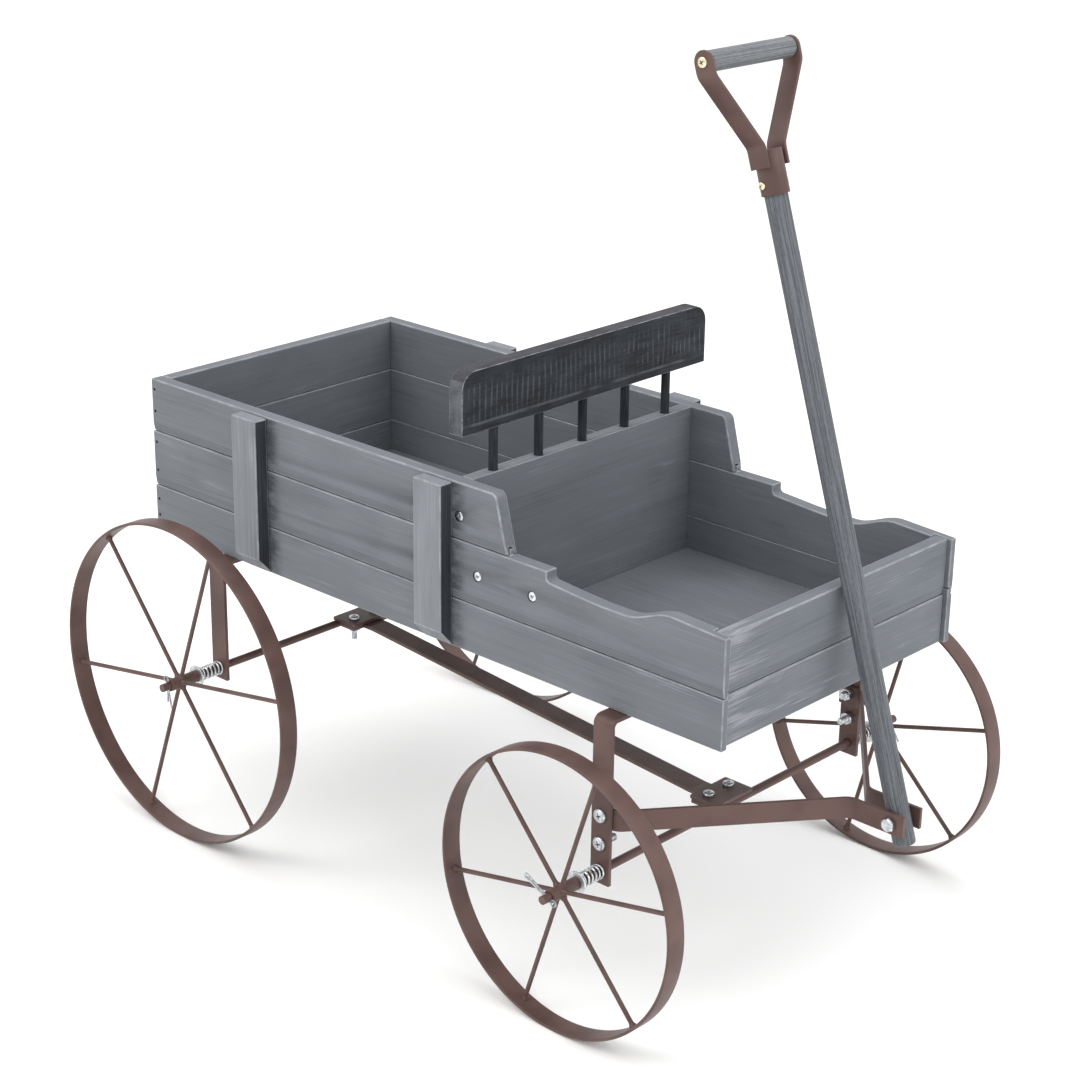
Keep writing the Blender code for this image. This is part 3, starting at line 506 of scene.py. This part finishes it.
def ring_body(bm, profile, steps, place=Matrix.Identity(4)):
    """A closed profile turned about local Z, such as a rim, a washer or a tube."""
    rings = revolve(bm, profile, steps, place)
    last, first = rings[-1], rings[0]
    for step in range(steps):
        after = (step + 1) % steps
        bm.faces.new((last[step], last[after], first[after], first[step]))


def round_box(low, high, bottom, top, corner, steps=4):
    """A closed (radius, height) profile: a rectangle with its corners rounded."""
    points = []
    centres = (
        (high - corner, top - corner, 0),
        (low + corner, top - corner, 90),
        (low + corner, bottom + corner, 180),
        (high - corner, bottom + corner, 270),
    )
    for across, up, start in centres:
        for step in range(steps + 1):
            angle = math.radians(start + 90 * step / steps)
            points.append((across + corner * math.cos(angle), up + corner * math.sin(angle)))
    return points


def tube(bm, path, radius, sides=12):
    """A round bar swept along a path, with domed ends."""
    points = [Vector(point) for point in path]
    ahead = (points[1] - points[0]).normalized()
    side = ahead.orthogonal().normalized()
    rings = []
    for index, point in enumerate(points):
        before, after = points[max(index - 1, 0)], points[min(index + 1, len(points) - 1)]
        turned = (after - before).normalized()
        side = (ahead.rotation_difference(turned) @ side).normalized()
        ahead = turned
        up = ahead.cross(side)
        shrink = [(0, 1.0)]
        if index == 0:
            shrink = [(-0.9, 0.35), (-0.6, 0.8), (0, 1.0)]
        elif index == len(points) - 1:
            shrink = [(0, 1.0), (0.6, 0.8), (0.9, 0.35)]
        for push, share in shrink:
            centre = point + ahead * push * radius
            angles = [2 * math.pi * step / sides for step in range(sides)]
            spots = [centre + (side * math.cos(a) + up * math.sin(a)) * radius * share for a in angles]
            rings.append([bm.verts.new(spot) for spot in spots])
    for first, second in zip(rings, rings[1:]):
        for step in range(sides):
            after = (step + 1) % sides
            bm.faces.new((first[step], first[after], second[after], second[step]))
    bm.faces.new(rings[0][::-1])
    bm.faces.new(rings[-1])


def along_axis(point, direction):
    """The place of a turned piece whose local Z is to lie along direction."""
    return Matrix.Translation(point) @ Z_AXIS.rotation_difference(Vector(direction)).to_matrix().to_4x4()


# ---------------------------------------------------------------- boards


def board(node, along, seed, edge=1.0 * MM, materials=SIDE_SET, slot="grey_washed_wood"):
    """A board with rounded edges. Its materials are for the faces, the edges and chosen faces."""
    obj = refined(node, "board", edge)
    for material in materials:
        obj.data.materials.append(material)
    BOARDS.append((obj, along, seed))
    return own(obj, CHASSIS, slot, node)


def shade_faces(obj, test, index):
    for face in obj.data.polygons:
        if test(face.normal):
            face.material_index = index


def is_groove(normal):
    """The sloping band along a plank's lower edge."""
    return normal.z < -0.08 and max(abs(normal.x), abs(normal.y)) > 0.5


def planks():
    rows = ("bottom", "middle", "top")
    made = {}
    for number, (hand, _) in enumerate(SIDES):
        for row in rows:
            node = f"side_plank_{hand}_{row}"
            made[node] = board(node, X_AXIS, 1 + 3 * number + rows.index(row))
    ends = [f"rear_plank_{row}" for row in rows] + ["front_plank_bottom", "front_plank_top"]
    for seed, node in enumerate(ends):
        face = GREY_FRONT if node.startswith("front") else GREY
        made[node] = board(node, Y_AXIS, 11 + seed, materials=(face, GREY_EDGE, GROOVE_PAINTED_SHADE))
    # The groove bands take the painted-shade copy of the wash.
    for obj in made.values():
        shade_faces(obj, is_groove, 2)
    for seed, node in enumerate(("rear_floor", "front_floor")):
        board(node, X_AXIS, 21 + seed, materials=(GREY, GREY_EDGE))
    board("divider_panel", Y_AXIS, 24, materials=(GREY, GREY_EDGE))
    return made


def battens():
    for seed, (end, hand) in enumerate((end, hand) for end in ("rear", "front") for hand, _ in SIDES):
        obj = board(f"{end}_batten_{hand}", Z_AXIS, 31 + seed, 0.9 * MM, (BATTEN, GREY_EDGE, BATTEN_SIDE_PAINTED_SHADE))
        # Painted shade on the batten faces square to X.
        shade_faces(obj, lambda normal: abs(normal.x) > 0.9, 2)


def seat_back():
    seat_set = (SEAT, SEAT_EDGE, SEAT_PAINTED_TOP_LIGHT, SEAT_PAINTED_END_LIGHT)
    rail = board("seat_back_rail", Y_AXIS, 41, 1.3 * MM, seat_set, "dark_seat_wood")
    # The rail's top faces and end faces take the painted-light copies.
    shade_faces(rail, lambda normal: normal.z > 0.35, 2)
    shade_faces(rail, lambda normal: abs(normal.y) > 0.92, 3)
    for number in range(1, 6):
        node = f"seat_post_{number}"
        low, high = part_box(node)
        radius, tall = (high.x - low.x) / 2, high.z - low.z
        soft = 0.5 * MM
        profile = [(0, 0), (radius - soft, 0), (radius, soft)]
        profile += [(radius, tall - soft), (radius - soft, tall), (0, tall)]
        bm = bmesh.new()
        revolve(bm, profile, 24)
        obj = link(f"{node}_dowel", mesh_from(f"{node}_dowel", bm), SEAT_POST)
        obj.location = ((low.x + high.x) / 2, (low.y + high.y) / 2, low.z)
        mark_grain(obj, Z_AXIS, 50 + number)
        own(obj, CHASSIS, "dark_seat_wood", node)


# ---------------------------------------------------------------- ironwork


def ironwork():
    nodes = {"front_bracket": 0.6, "rear_bracket": 0.6, "reach_bar": 0.5, "front_axle": 0.35}
    nodes.update({"rear_axle": 0.35, "drawbar_right": 0.6, "drawbar_left": 0.6})
    for node, width in nodes.items():
        obj = refined(node, "iron", width * MM, 3, 50, 0.5)
        obj.data.materials.append(IRON)
        obj.data.materials.append(IRON)
        own(obj, CHASSIS, "brown_painted_iron", node)


def rim(name, centre, radius):
    low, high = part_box(f"{name}_rim")
    half = (high.y - low.y) / 2
    profile = round_box(radius - RIM_THICK, radius, -half, half, 0.85 * MM)
    bm = bmesh.new()
    ring_body(bm, profile, 160)
    obj = link(f"{name}_hoop", mesh_from(f"{name}_hoop", bm), IRON)
    obj.matrix_world = along_axis(Vector((centre.x, (low.y + high.y) / 2, centre.z)), Y_AXIS)
    own(obj, f"{name}_wheel", "brown_painted_iron", f"{name}_rim")
    return radius - RIM_THICK


def hub(name, centre):
    low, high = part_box(f"{name}_hub_and_spokes")
    half = (high.y - low.y) / 2
    bm = bmesh.new()
    ring_body(bm, round_box(AXLE_R + 0.1 * MM, HUB_R, -half, half, 0.35 * MM), 40)
    obj = link(f"{name}_hub", mesh_from(f"{name}_hub", bm), IRON)
    obj.matrix_world = along_axis(Vector((centre.x, (low.y + high.y) / 2, centre.z)), Y_AXIS)
    return own(obj, f"{name}_wheel", "brown_painted_iron", f"{name}_hub_and_spokes")


def spokes(name, centre, reach, side, first_angle):
    """Round spokes, each with a small weld where it meets the hub and the rim."""
    spoke_y = side * SPOKE_Y
    inner = HUB_R - 0.5 * MM
    length = reach - inner
    weld = 1.1 * MM
    profile = [(0, 0), (SPOKE_R + weld, 0.2 * MM), (SPOKE_R + weld * 0.6, 1.2 * MM)]
    profile += [(SPOKE_R + weld * 0.15, 2.2 * MM), (SPOKE_R, 3.0 * MM), (SPOKE_R, length / 2)]
    profile += [(radius, length - height) for radius, height in profile[4::-1]]
    for index in range(SPOKES):
        angle = math.radians(first_angle + 360 / SPOKES * index)
        out = Vector((math.cos(angle), 0, math.sin(angle)))
        bm = bmesh.new()
        revolve(bm, profile, 16)
        obj = link(f"{name}_spoke_{index + 1}", mesh_from(f"{name}_spoke_{index + 1}", bm), IRON)
        obj.matrix_world = along_axis(Vector((centre.x, spoke_y, centre.z)) + out * inner, out)
        own(obj, f"{name}_wheel", "brown_painted_iron")


def washer(name, centre):
    low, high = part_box(f"{name}_washer")
    half = (high.y - low.y) / 2
    bm = bmesh.new()
    ring_body(bm, round_box(AXLE_R + 0.2 * MM, (high.x - low.x) / 2, -half, half, 0.3 * MM), 48)
    obj = link(f"{name}_flat_washer", mesh_from(f"{name}_flat_washer", bm), WASHER_ZINC)
    obj.matrix_world = along_axis(Vector((centre.x, (low.y + high.y) / 2, centre.z)), Y_AXIS)
    own(obj, bodies_of[f"{name}_washer"], "zinc_steel", f"{name}_washer")


def spring(name, centre):
    low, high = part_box(f"{name}_spring")
    start, end = low.y + SPRING_WIRE_R, high.y - SPRING_WIRE_R
    steps = round(SPRING_TURNS * 24)
    path = []
    for step in range(steps + 1):
        turn = SPRING_TURNS * step / steps
        # The first and last half turns lie flat, as a cut coil's ends do.
        share = min(max((turn - 0.5) / (SPRING_TURNS - 1.0), 0.0), 1.0)
        angle = 2 * math.pi * turn
        y = start + (end - start) * share
        path.append((centre.x + SPRING_R * math.cos(angle), y, centre.z + SPRING_R * math.sin(angle)))
    bm = bmesh.new()
    tube(bm, path, SPRING_WIRE_R, 10)
    obj = link(f"{name}_coil", mesh_from(f"{name}_coil", bm), ZINC)
    own(obj, bodies_of[f"{name}_spring"], "zinc_steel", f"{name}_spring")


def cotter_pin(name, centre, tail_angle):
    """Half-round wire folded into an eye and two legs, which spread past the axle."""
    tail = Vector((math.cos(math.radians(tail_angle)), 0, math.sin(math.radians(tail_angle))))
    across = Vector((-tail.z, 0, tail.x))
    spot = Vector((centre.x, middle(f"{name}_cotter_pin").y, centre.z))
    eye = spot - tail * (AXLE_R + 0.3 * MM + PIN_EYE_R)
    gap = PIN_WIRE_R * 0.95
    (long_length, long_spread), (short_length, short_spread) = PIN_LEGS[name]
    long_leg = [spot + (tail * long_length + across * long_spread) * MM]
    long_leg += [spot + tail * 4.0 * MM + across * gap, spot - tail * PIN_NECK + across * gap]
    loop = []
    for step in range(15):
        angle = math.radians(28 + (360 - 56) * step / 14)
        loop.append(eye + tail * math.cos(angle) * PIN_EYE_R + across * math.sin(angle) * PIN_EYE_R)
    short_leg = [spot - tail * PIN_NECK - across * gap, spot + tail * 4.0 * MM - across * gap]
    short_leg += [spot + (tail * short_length + across * short_spread) * MM]
    bm = bmesh.new()
    tube(bm, long_leg + loop + short_leg, PIN_WIRE_R, 10)
    obj = link(f"{name}_split_pin", mesh_from(f"{name}_split_pin", bm, 70), PIN_ZINC)
    own(obj, bodies_of[f"{name}_cotter_pin"], "zinc_steel", f"{name}_cotter_pin")


def wheels():
    for name, (side, spoke_angle, pin_angle) in WHEELS.items():
        low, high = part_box(f"{name}_rim")
        radius = (high.z - low.z) / 2
        centre = Vector(((low.x + high.x) / 2, 0, radius))
        reach = rim(name, centre, radius)
        hub(name, centre)
        spokes(name, centre, reach, side, spoke_angle)
        washer(name, centre)
        spring(name, centre)
        cotter_pin(name, centre, pin_angle)


# ---------------------------------------------------------------- fasteners


def applied(obj):
    """The object's mesh with its modifiers applied. The object and its cutters are removed."""
    bpy.context.view_layer.update()
    graph = bpy.context.evaluated_depsgraph_get()
    mesh = bpy.data.meshes.new_from_object(obj.evaluated_get(graph))
    cutters = [modifier.object for modifier in obj.modifiers if modifier.type == "BOOLEAN"]
    for other in [obj, *cutters]:
        bpy.data.objects.remove(other, do_unlink=True)
    return mesh


def cross_head(name, radius, tall, material, recess, dome=0.45):
    """A screw head with a cross recess, on local Z = 0."""
    steps = 7
    profile = [(0, -0.4 * MM), (radius * 0.6, -0.4 * MM), (radius, 0), (radius, tall * (1 - dome))]
    for step in range(1, steps + 1):
        angle = math.radians(90 * step / steps)
        across = radius * math.cos(angle) ** 0.8 if step < steps else 0
        profile.append((across, tall * (1 - dome + dome * math.sin(angle))))
    bm = bmesh.new()
    revolve(bm, profile, 36)
    head = link(name, mesh_from(name, bm, 50), material, recess)
    for index in range(2):
        bm = bmesh.new()
        bmesh.ops.create_cube(bm, size=1.0)
        for point in bm.verts:
            reach = radius * (1.16 if point.co.z > 0 else 0.5)
            height = tall * (0.35 if point.co.z < 0 else 1.3)
            point.co = (point.co.x * reach, point.co.y * radius * 0.2, height)
        # The cut faces take the recess material: painted shade in the cross.
        cutter = link(f"{name}_recess_{index}", mesh_from(f"{name}_recess_{index}", bm), recess)
        cutter.rotation_euler = (0, 0, math.radians(90 * index + 18))
        cut = head.modifiers.new(f"recess {index}", "BOOLEAN")
        cut.object = cutter
        cut.solver = "EXACT"
        cut.material_mode = "TRANSFER"
    return applied(head)


def thread_profile(radius, low, high, pitch=0.7 * MM):
    """A rod with thread ridges, from low to high along its axis."""
    profile = [(0, low), (radius * 0.8, low)]
    turns = max(1, int((high - low) / pitch))
    for turn in range(turns):
        height = low + (high - low) * (turn + 0.5) / turns
        step = (high - low) / turns
        profile += [(radius * 0.86, height - step * 0.4), (radius, height - step * 0.1)]
        profile += [(radius, height + step * 0.1), (radius * 0.86, height + step * 0.4)]
    return profile + [(radius * 0.8, high), (0, high)]


def hexagon(bm, corner_r, low, high, place):
    """A hexagon head or nut whose corners are turned down at both ends."""
    flat = corner_r * math.cos(math.pi / 6)
    soft = (corner_r - flat) * 0.6
    levels = ((low, flat * 0.985), (low + soft, corner_r), (high - soft, corner_r), (high, flat * 0.985))
    rings = []
    for height, reach in levels:
        ring = []
        for step in range(36):
            angle = 2 * math.pi * step / 36
            away = (angle + math.pi / 6) % (math.pi / 3) - math.pi / 6
            edge = min(flat / math.cos(away), reach)
            corner = Vector((edge * math.cos(angle), edge * math.sin(angle), height))
            ring.append(bm.verts.new(place @ corner))
        rings.append(ring)
    for first, second in zip(rings, rings[1:]):
        for step in range(36):
            after = (step + 1) % 36
            bm.faces.new((first[step], first[after], second[after], second[step]))
    for ring, height in ((rings[0], low), (rings[-1], high)):
        centre = bm.verts.new(place @ Vector((0, 0, height)))
        for step in range(36):
            bm.faces.new((ring[step], ring[(step + 1) % 36], centre))


def reach_bolts(head_mesh):
    for end in ("front", "rear"):
        for hand, _ in SIDES:
            node = f"{end}_reach_bolt_{hand}"
            low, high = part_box(node)
            x, y = (low.x + high.x) / 2, (low.y + high.y) / 2
            top = high.z - HEAD_M4[1]
            head = link(f"{node}_head", head_mesh)
            head.matrix_world = along_axis(Vector((x, y, top)), Z_AXIS)
            own(head, CHASSIS, "zinc_steel", node)
            bm = bmesh.new()
            revolve(bm, thread_profile(M4_R, low.z - REACH_BOLT_PAST, top), 24, Matrix.Translation((x, y, 0)))
            nut_top = top - 2 * STRAP_T - 0.9 * MM
            hexagon(bm, NUT_M4_R, nut_top - NUT_M4_TALL, nut_top, Matrix.Translation((x, y, 0)))
            shank = link(f"{node}_shank_and_nut", mesh_from(f"{node}_shank_and_nut", bm, 30), ZINC)
            own(shank, CHASSIS, "zinc_steel")


def leg_bolts(head_mesh):
    """Two bolts through each front leg, with their nuts inside; the upper one also holds the drawbar."""
    low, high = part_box("front_bracket")
    x = (low.x + high.x) / 2
    for hand, side in SIDES:
        outward = Vector((0, side, 0))
        for index, z in enumerate(LEG_BOLT_ZS):
            head = link(f"leg_bolt_head_{hand}_{index}", head_mesh)
            head.matrix_world = along_axis(Vector((x, side * high.y, z)), outward)
            own(head, CHASSIS, "zinc_steel")
            held = STRAP_T * (1 + index) + 0.3 * MM * index + 0.1 * MM
            place = along_axis(Vector((x, side * (high.y - held), z)), -outward)
            bm = bmesh.new()
            revolve(bm, thread_profile(M5_R, -held, (10.5 - 2.8 * index) * MM), 24, place)
            hexagon(bm, NUT_M5_R, 0, NUT_M5_TALL, place)
            name = f"leg_bolt_shank_and_nut_{hand}_{index}"
            own(link(name, mesh_from(name, bm, 30), ZINC), CHASSIS, "zinc_steel")


def hinge():
    low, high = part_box("hinge_bolt")
    place = along_axis(Vector((PIVOT.x, 0, PIVOT.z)), Y_AXIS)
    bm = bmesh.new()
    revolve(bm, thread_profile(HINGE_BOLT_R, low.y + 1.0 * MM, high.y, 0.8 * MM), 24, place)
    hexagon(bm, HINGE_NUT_R, low.y, low.y + HINGE_HEAD_TALL, place)
    bolt = link("hinge_bolt_fine", mesh_from("hinge_bolt_fine", bm, 30), ZINC)
    own(bolt, bodies_of["hinge_bolt"], "zinc_steel", "hinge_bolt")
    low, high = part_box("hinge_nut")
    bm = bmesh.new()
    hexagon(bm, HINGE_NUT_R, low.y, high.y, place)
    nut = link("hinge_nut_fine", mesh_from("hinge_nut_fine", bm, 30), ZINC)
    own(nut, bodies_of["hinge_nut"], "zinc_steel", "hinge_nut")


def side_screws(planks_made, head_mesh):
    """Three screws a side, each sunk in a plain round hole."""
    rear_x = middle("rear_right_rim").x
    for hand, side in SIDES:
        for index, (ahead, z, row) in enumerate(SIDE_SCREWS):
            plank = planks_made[f"side_plank_{hand}_{row}"]
            low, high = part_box(f"side_plank_{hand}_{row}")
            face = low.y if side < 0 else high.y
            outward = Vector((0, side, 0))
            centre = Vector((rear_x + ahead, face, z))
            bm = bmesh.new()
            size = {"radius1": SCREW_HOLE_R, "radius2": SCREW_HOLE_R, "depth": 2 * SCREW_HOLE_DEEP}
            bmesh.ops.create_cone(bm, cap_ends=True, segments=32, **size)
            # The hole's walls take the near-black material: painted shade.
            cutter = link(f"screw_hole_{hand}_{index}", mesh_from(f"screw_hole_{hand}_{index}", bm), HOLE_SHADE_AND_NAIL_DARK)
            cutter.matrix_world = along_axis(centre, outward)
            cut = plank.modifiers.new(f"screw hole {index}", "BOOLEAN")
            cut.object = cutter
            cut.solver = "EXACT"
            cut.material_mode = "TRANSFER"
            CUTTERS.append(cutter)
            head = link(f"side_screw_{hand}_{index}", head_mesh)
            head.matrix_world = along_axis(centre - outward * SCREW_HOLE_DEEP, outward)
            own(head, CHASSIS, "zinc_steel")


def finish_boards():
    """Applies each board's modifiers, and only then marks its grain, so that the grain stays straight."""
    bpy.context.view_layer.update()
    graph = bpy.context.evaluated_depsgraph_get()
    meshes = [bpy.data.meshes.new_from_object(obj.evaluated_get(graph)) for obj, _, _ in BOARDS]
    for mesh, (obj, along, seed) in zip(meshes, BOARDS):
        obj.modifiers.clear()
        obj.data = mesh
        mark_grain(obj, along, seed)
    for cutter in CUTTERS:
        bpy.data.objects.remove(cutter, do_unlink=True)


def nails():
    """Small dark nail heads down the rear end of each side."""
    x = middle("rear_right_rim").x - NAIL_BEHIND
    profile = [(0, -1.0 * MM), (NAIL_R, -1.0 * MM), (NAIL_R, 0.02 * MM)]
    profile += [(NAIL_R * 0.6, 0.08 * MM), (0, 0.09 * MM)]
    for hand, side in SIDES:
        low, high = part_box(f"side_plank_{hand}_bottom")
        face = low.y if side < 0 else high.y
        for index, z in enumerate(NAIL_ZS):
            bm = bmesh.new()
            revolve(bm, profile, 16)
            name = f"nail_{hand}_{index}"
            nail = link(name, mesh_from(name, bm), HOLE_SHADE_AND_NAIL_DARK)
            nail.matrix_world = along_axis(Vector((x, face, z)), Vector((0, side, 0)))
            own(nail, CHASSIS, "zinc_steel")


# ---------------------------------------------------------------- handle


def pole():
    soft = 1.6 * MM
    arc = [(math.cos(math.radians(a)), math.sin(math.radians(a))) for a in (0, 22, 45, 68, 90)]
    profile = [(0, POLE_LOW)] + [(POLE_R - soft + soft * c, POLE_LOW + soft - soft * s) for c, s in arc[::-1]]
    profile += [(POLE_R - soft + soft * c, POLE_TOP - soft + soft * s) for c, s in arc] + [(0, POLE_TOP)]
    bm = bmesh.new()
    revolve(bm, profile, 56)
    obj = link("pull_pole", mesh_from("pull_pole", bm), POLE_WOOD)
    obj.matrix_world = HANDLE_PLACE
    mark_grain(obj, Z_AXIS, 61)
    own(obj, HANDLE, "handle_wood", "handle_pole")


def strap_path(points, bend, steps=6):
    """Points along a path whose corners are rounded by bend."""
    spots = [Vector(points[0])]
    for before, corner, after in zip(points, points[1:], points[2:]):
        before, corner, after = Vector(before), Vector(corner), Vector(after)
        come, leave = (corner - before).normalized(), (after - corner).normalized()
        inset = bend * math.tan(come.angle(leave) / 2)
        start, end = corner - come * inset, corner + leave * inset
        for step in range(steps + 1):
            share = step / steps
            spots.append(start.lerp(corner, share).lerp(corner.lerp(end, share), share))
    last = Vector(points[-1])
    tip = ARM_W / 2
    start = last - (last - spots[-1]).normalized() * tip
    spots += [start.lerp(last, math.sin(math.radians(90 * step / 8))) for step in range(9)]
    return spots


def flat_arm(name, points, bend):
    """A flat bar with rounded edges, bent in local YZ, whose last end is a half circle."""
    spots = strap_path(points, bend)
    total = spots[-1]
    corner = 0.6 * MM
    bm = bmesh.new()
    rings = []
    for index, spot in enumerate(spots):
        before, after = spots[max(index - 1, 0)], spots[min(index + 1, len(spots) - 1)]
        ahead = (after - before).normalized()
        normal = Vector((-ahead.y, ahead.x))
        left = (total - spot).length
        tip = ARM_W / 2
        half = ARM_W / 2 if left >= tip else math.sqrt(max(tip**2 - (tip - left) ** 2, (0.8 * MM) ** 2))
        ring = []
        for across, thick in round_box(-half, half, -ARM_T / 2, ARM_T / 2, min(corner, half * 0.9), 3):
            place = spot + normal * thick
            ring.append(bm.verts.new(Vector((across, place.x, place.y))))
        rings.append(ring)
    count = len(rings[0])
    for first, second in zip(rings, rings[1:]):
        for step in range(count):
            after = (step + 1) % count
            bm.faces.new((first[step], first[after], second[after], second[step]))
    bm.faces.new(rings[0][::-1])
    bm.faces.new(rings[-1])
    bmesh.ops.remove_doubles(bm, verts=bm.verts, dist=1e-6)
    return link(name, mesh_from(name, bm, 40), IRON)


def grip(end_head, small_head):
    inner = POLE_R + 0.3 * MM
    bm = bmesh.new()
    profile = round_box(inner, FERRULE_R, FERRULE_LOW, FERRULE_TOP, 0.5 * MM)
    ring_body(bm, profile, 56)
    ferrule = link("grip_ferrule", mesh_from("grip_ferrule", bm), IRON)
    ferrule.matrix_world = HANDLE_PLACE
    own(ferrule, HANDLE, "brown_painted_iron", "grip_fork")

    low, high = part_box("grip_bar")
    radius, reach = (high.z - low.z) / 2, high.y
    arm_y = reach + 0.3 * MM + ARM_T / 2
    foot_y = FERRULE_R - 0.5 * MM + ARM_T / 2
    for hand, side in SIDES:
        points = [
            (side * foot_y, FERRULE_TOP - 10.3 * MM),
            (side * foot_y, FERRULE_TOP + 2.3 * MM),
            (side * arm_y, GRIP_AT - 8.0 * MM),
            (side * arm_y, GRIP_AT + ARM_W / 2),
        ]
        arm = flat_arm(f"grip_arm_{hand}", points, ARM_BEND_R)
        arm.matrix_world = HANDLE_PLACE
        own(arm, HANDLE, "brown_painted_iron")
        outward = Vector((0, side, 0))
        end = link(f"grip_screw_{hand}", end_head)
        seat = Vector((0, side * (arm_y + ARM_T / 2), GRIP_AT))
        end.matrix_world = HANDLE_PLACE @ along_axis(seat, outward)
        own(end, HANDLE, "brass_screws")
        fixing = link(f"ferrule_screw_{hand}", small_head)
        turned = Matrix.Rotation(math.radians(FERRULE_SCREW_TURN), 3, "Z") @ outward
        spot = turned * (FERRULE_R - 0.1 * MM) + Z_AXIS * (FERRULE_LOW + FERRULE_SCREW_UP)
        fixing.matrix_world = HANDLE_PLACE @ along_axis(spot, turned)
        own(fixing, HANDLE, "brass_screws")

    soft = 1.2 * MM
    arc = [(math.cos(math.radians(a)), math.sin(math.radians(a))) for a in (0, 30, 60, 90)]
    profile = [(0, -reach)] + [(radius - soft + soft * c, -reach + soft - soft * s) for c, s in arc[::-1]]
    profile += [(radius - soft + soft * c, reach - soft + soft * s) for c, s in arc] + [(0, reach)]
    bm = bmesh.new()
    revolve(bm, profile, 48)
    bar = link("grip_handle", mesh_from("grip_handle", bm), GRIP_WOOD)
    mark_grain(bar, Z_AXIS, 71)
    bar.matrix_world = HANDLE_PLACE @ along_axis(Vector((0, 0, GRIP_AT)), Y_AXIS)
    own(bar, HANDLE, "handle_wood", "grip_bar")


# ---------------------------------------------------------------- stage


def camera():
    azimuth, elevation, roll = (math.radians(angle) for angle in CAMERA_ANGLES)
    level = Vector((math.cos(azimuth), math.sin(azimuth), 0))
    out = Vector((math.sin(azimuth), -math.cos(azimuth), 0))
    back = out * math.cos(elevation) + Z_AXIS * math.sin(elevation)
    upright = back.cross(level)
    right = level * math.cos(roll) + upright * math.sin(roll)
    up = upright * math.cos(roll) - level * math.sin(roll)
    data = bpy.data.cameras.new("camera")
    data.lens = CAMERA_LENS
    data.sensor_width = 36.0
    data.clip_start = 0.05
    obj = bpy.data.objects.new("camera", data)
    bpy.context.scene.collection.objects.link(obj)
    turn = Matrix((right, up, back)).transposed().to_4x4()
    obj.matrix_world = Matrix.Translation(CAMERA_AT) @ turn
    bpy.context.scene.camera = obj


def light(name, place, size, power, colour):
    data = bpy.data.lights.new(name, "AREA")
    data.energy = power
    data.size = size
    data.color = colour
    obj = bpy.data.objects.new(name, data)
    bpy.context.scene.collection.objects.link(obj)
    aim = Vector(LIGHT_AIM) - Vector(place)
    obj.matrix_world = Matrix.Translation(place) @ aim.to_track_quat("-Z", "Y").to_matrix().to_4x4()


def stage():
    bm = bmesh.new()
    bmesh.ops.create_grid(bm, x_segments=24, y_segments=24, size=9.0)
    floor = link("studio_floor", mesh_from("studio_floor", bm), pale_floor())
    world = bpy.data.worlds.new("studio")
    world.use_nodes = True
    background = world.node_tree.nodes["Background"]
    background.inputs["Color"].default_value = (1.0, 1.0, 1.0, 1)
    background.inputs["Strength"].default_value = WORLD_STRENGTH
    bpy.context.scene.world = world
    bpy.context.scene.view_settings.view_transform = "Standard"
    for name, settings in LIGHTS.items():
        light(name, *settings)


bodies_of = {node: obj["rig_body"] for node, obj in frame["nodes"].items()}
BOARDS = []
CUTTERS = []

camera()
stage()
plank_objects = planks()
battens()
seat_back()
ironwork()
wheels()
hinge()
pan_m4 = cross_head("pan_head_m4", *HEAD_M4, ZINC, ZINC_RECESS_PAINTED_SHADE)
pan_m5 = cross_head("pan_head_m5", *HEAD_M5, ZINC, ZINC_RECESS_PAINTED_SHADE)
side_head = cross_head("side_screw_head", *SIDE_HEAD, ZINC, ZINC_RECESS_PAINTED_SHADE, 0.3)
brass = cross_head("brass_screw_head", *GRIP_HEAD, BRASS, BRASS_RECESS_PAINTED_SHADE)
small_brass = cross_head("small_brass_head", *FERRULE_HEAD, BRASS, BRASS_RECESS_PAINTED_SHADE)
reach_bolts(pan_m4)
leg_bolts(pan_m5)
side_screws(plank_objects, side_head)
finish_boards()
nails()
pole()
grip(brass, small_brass)
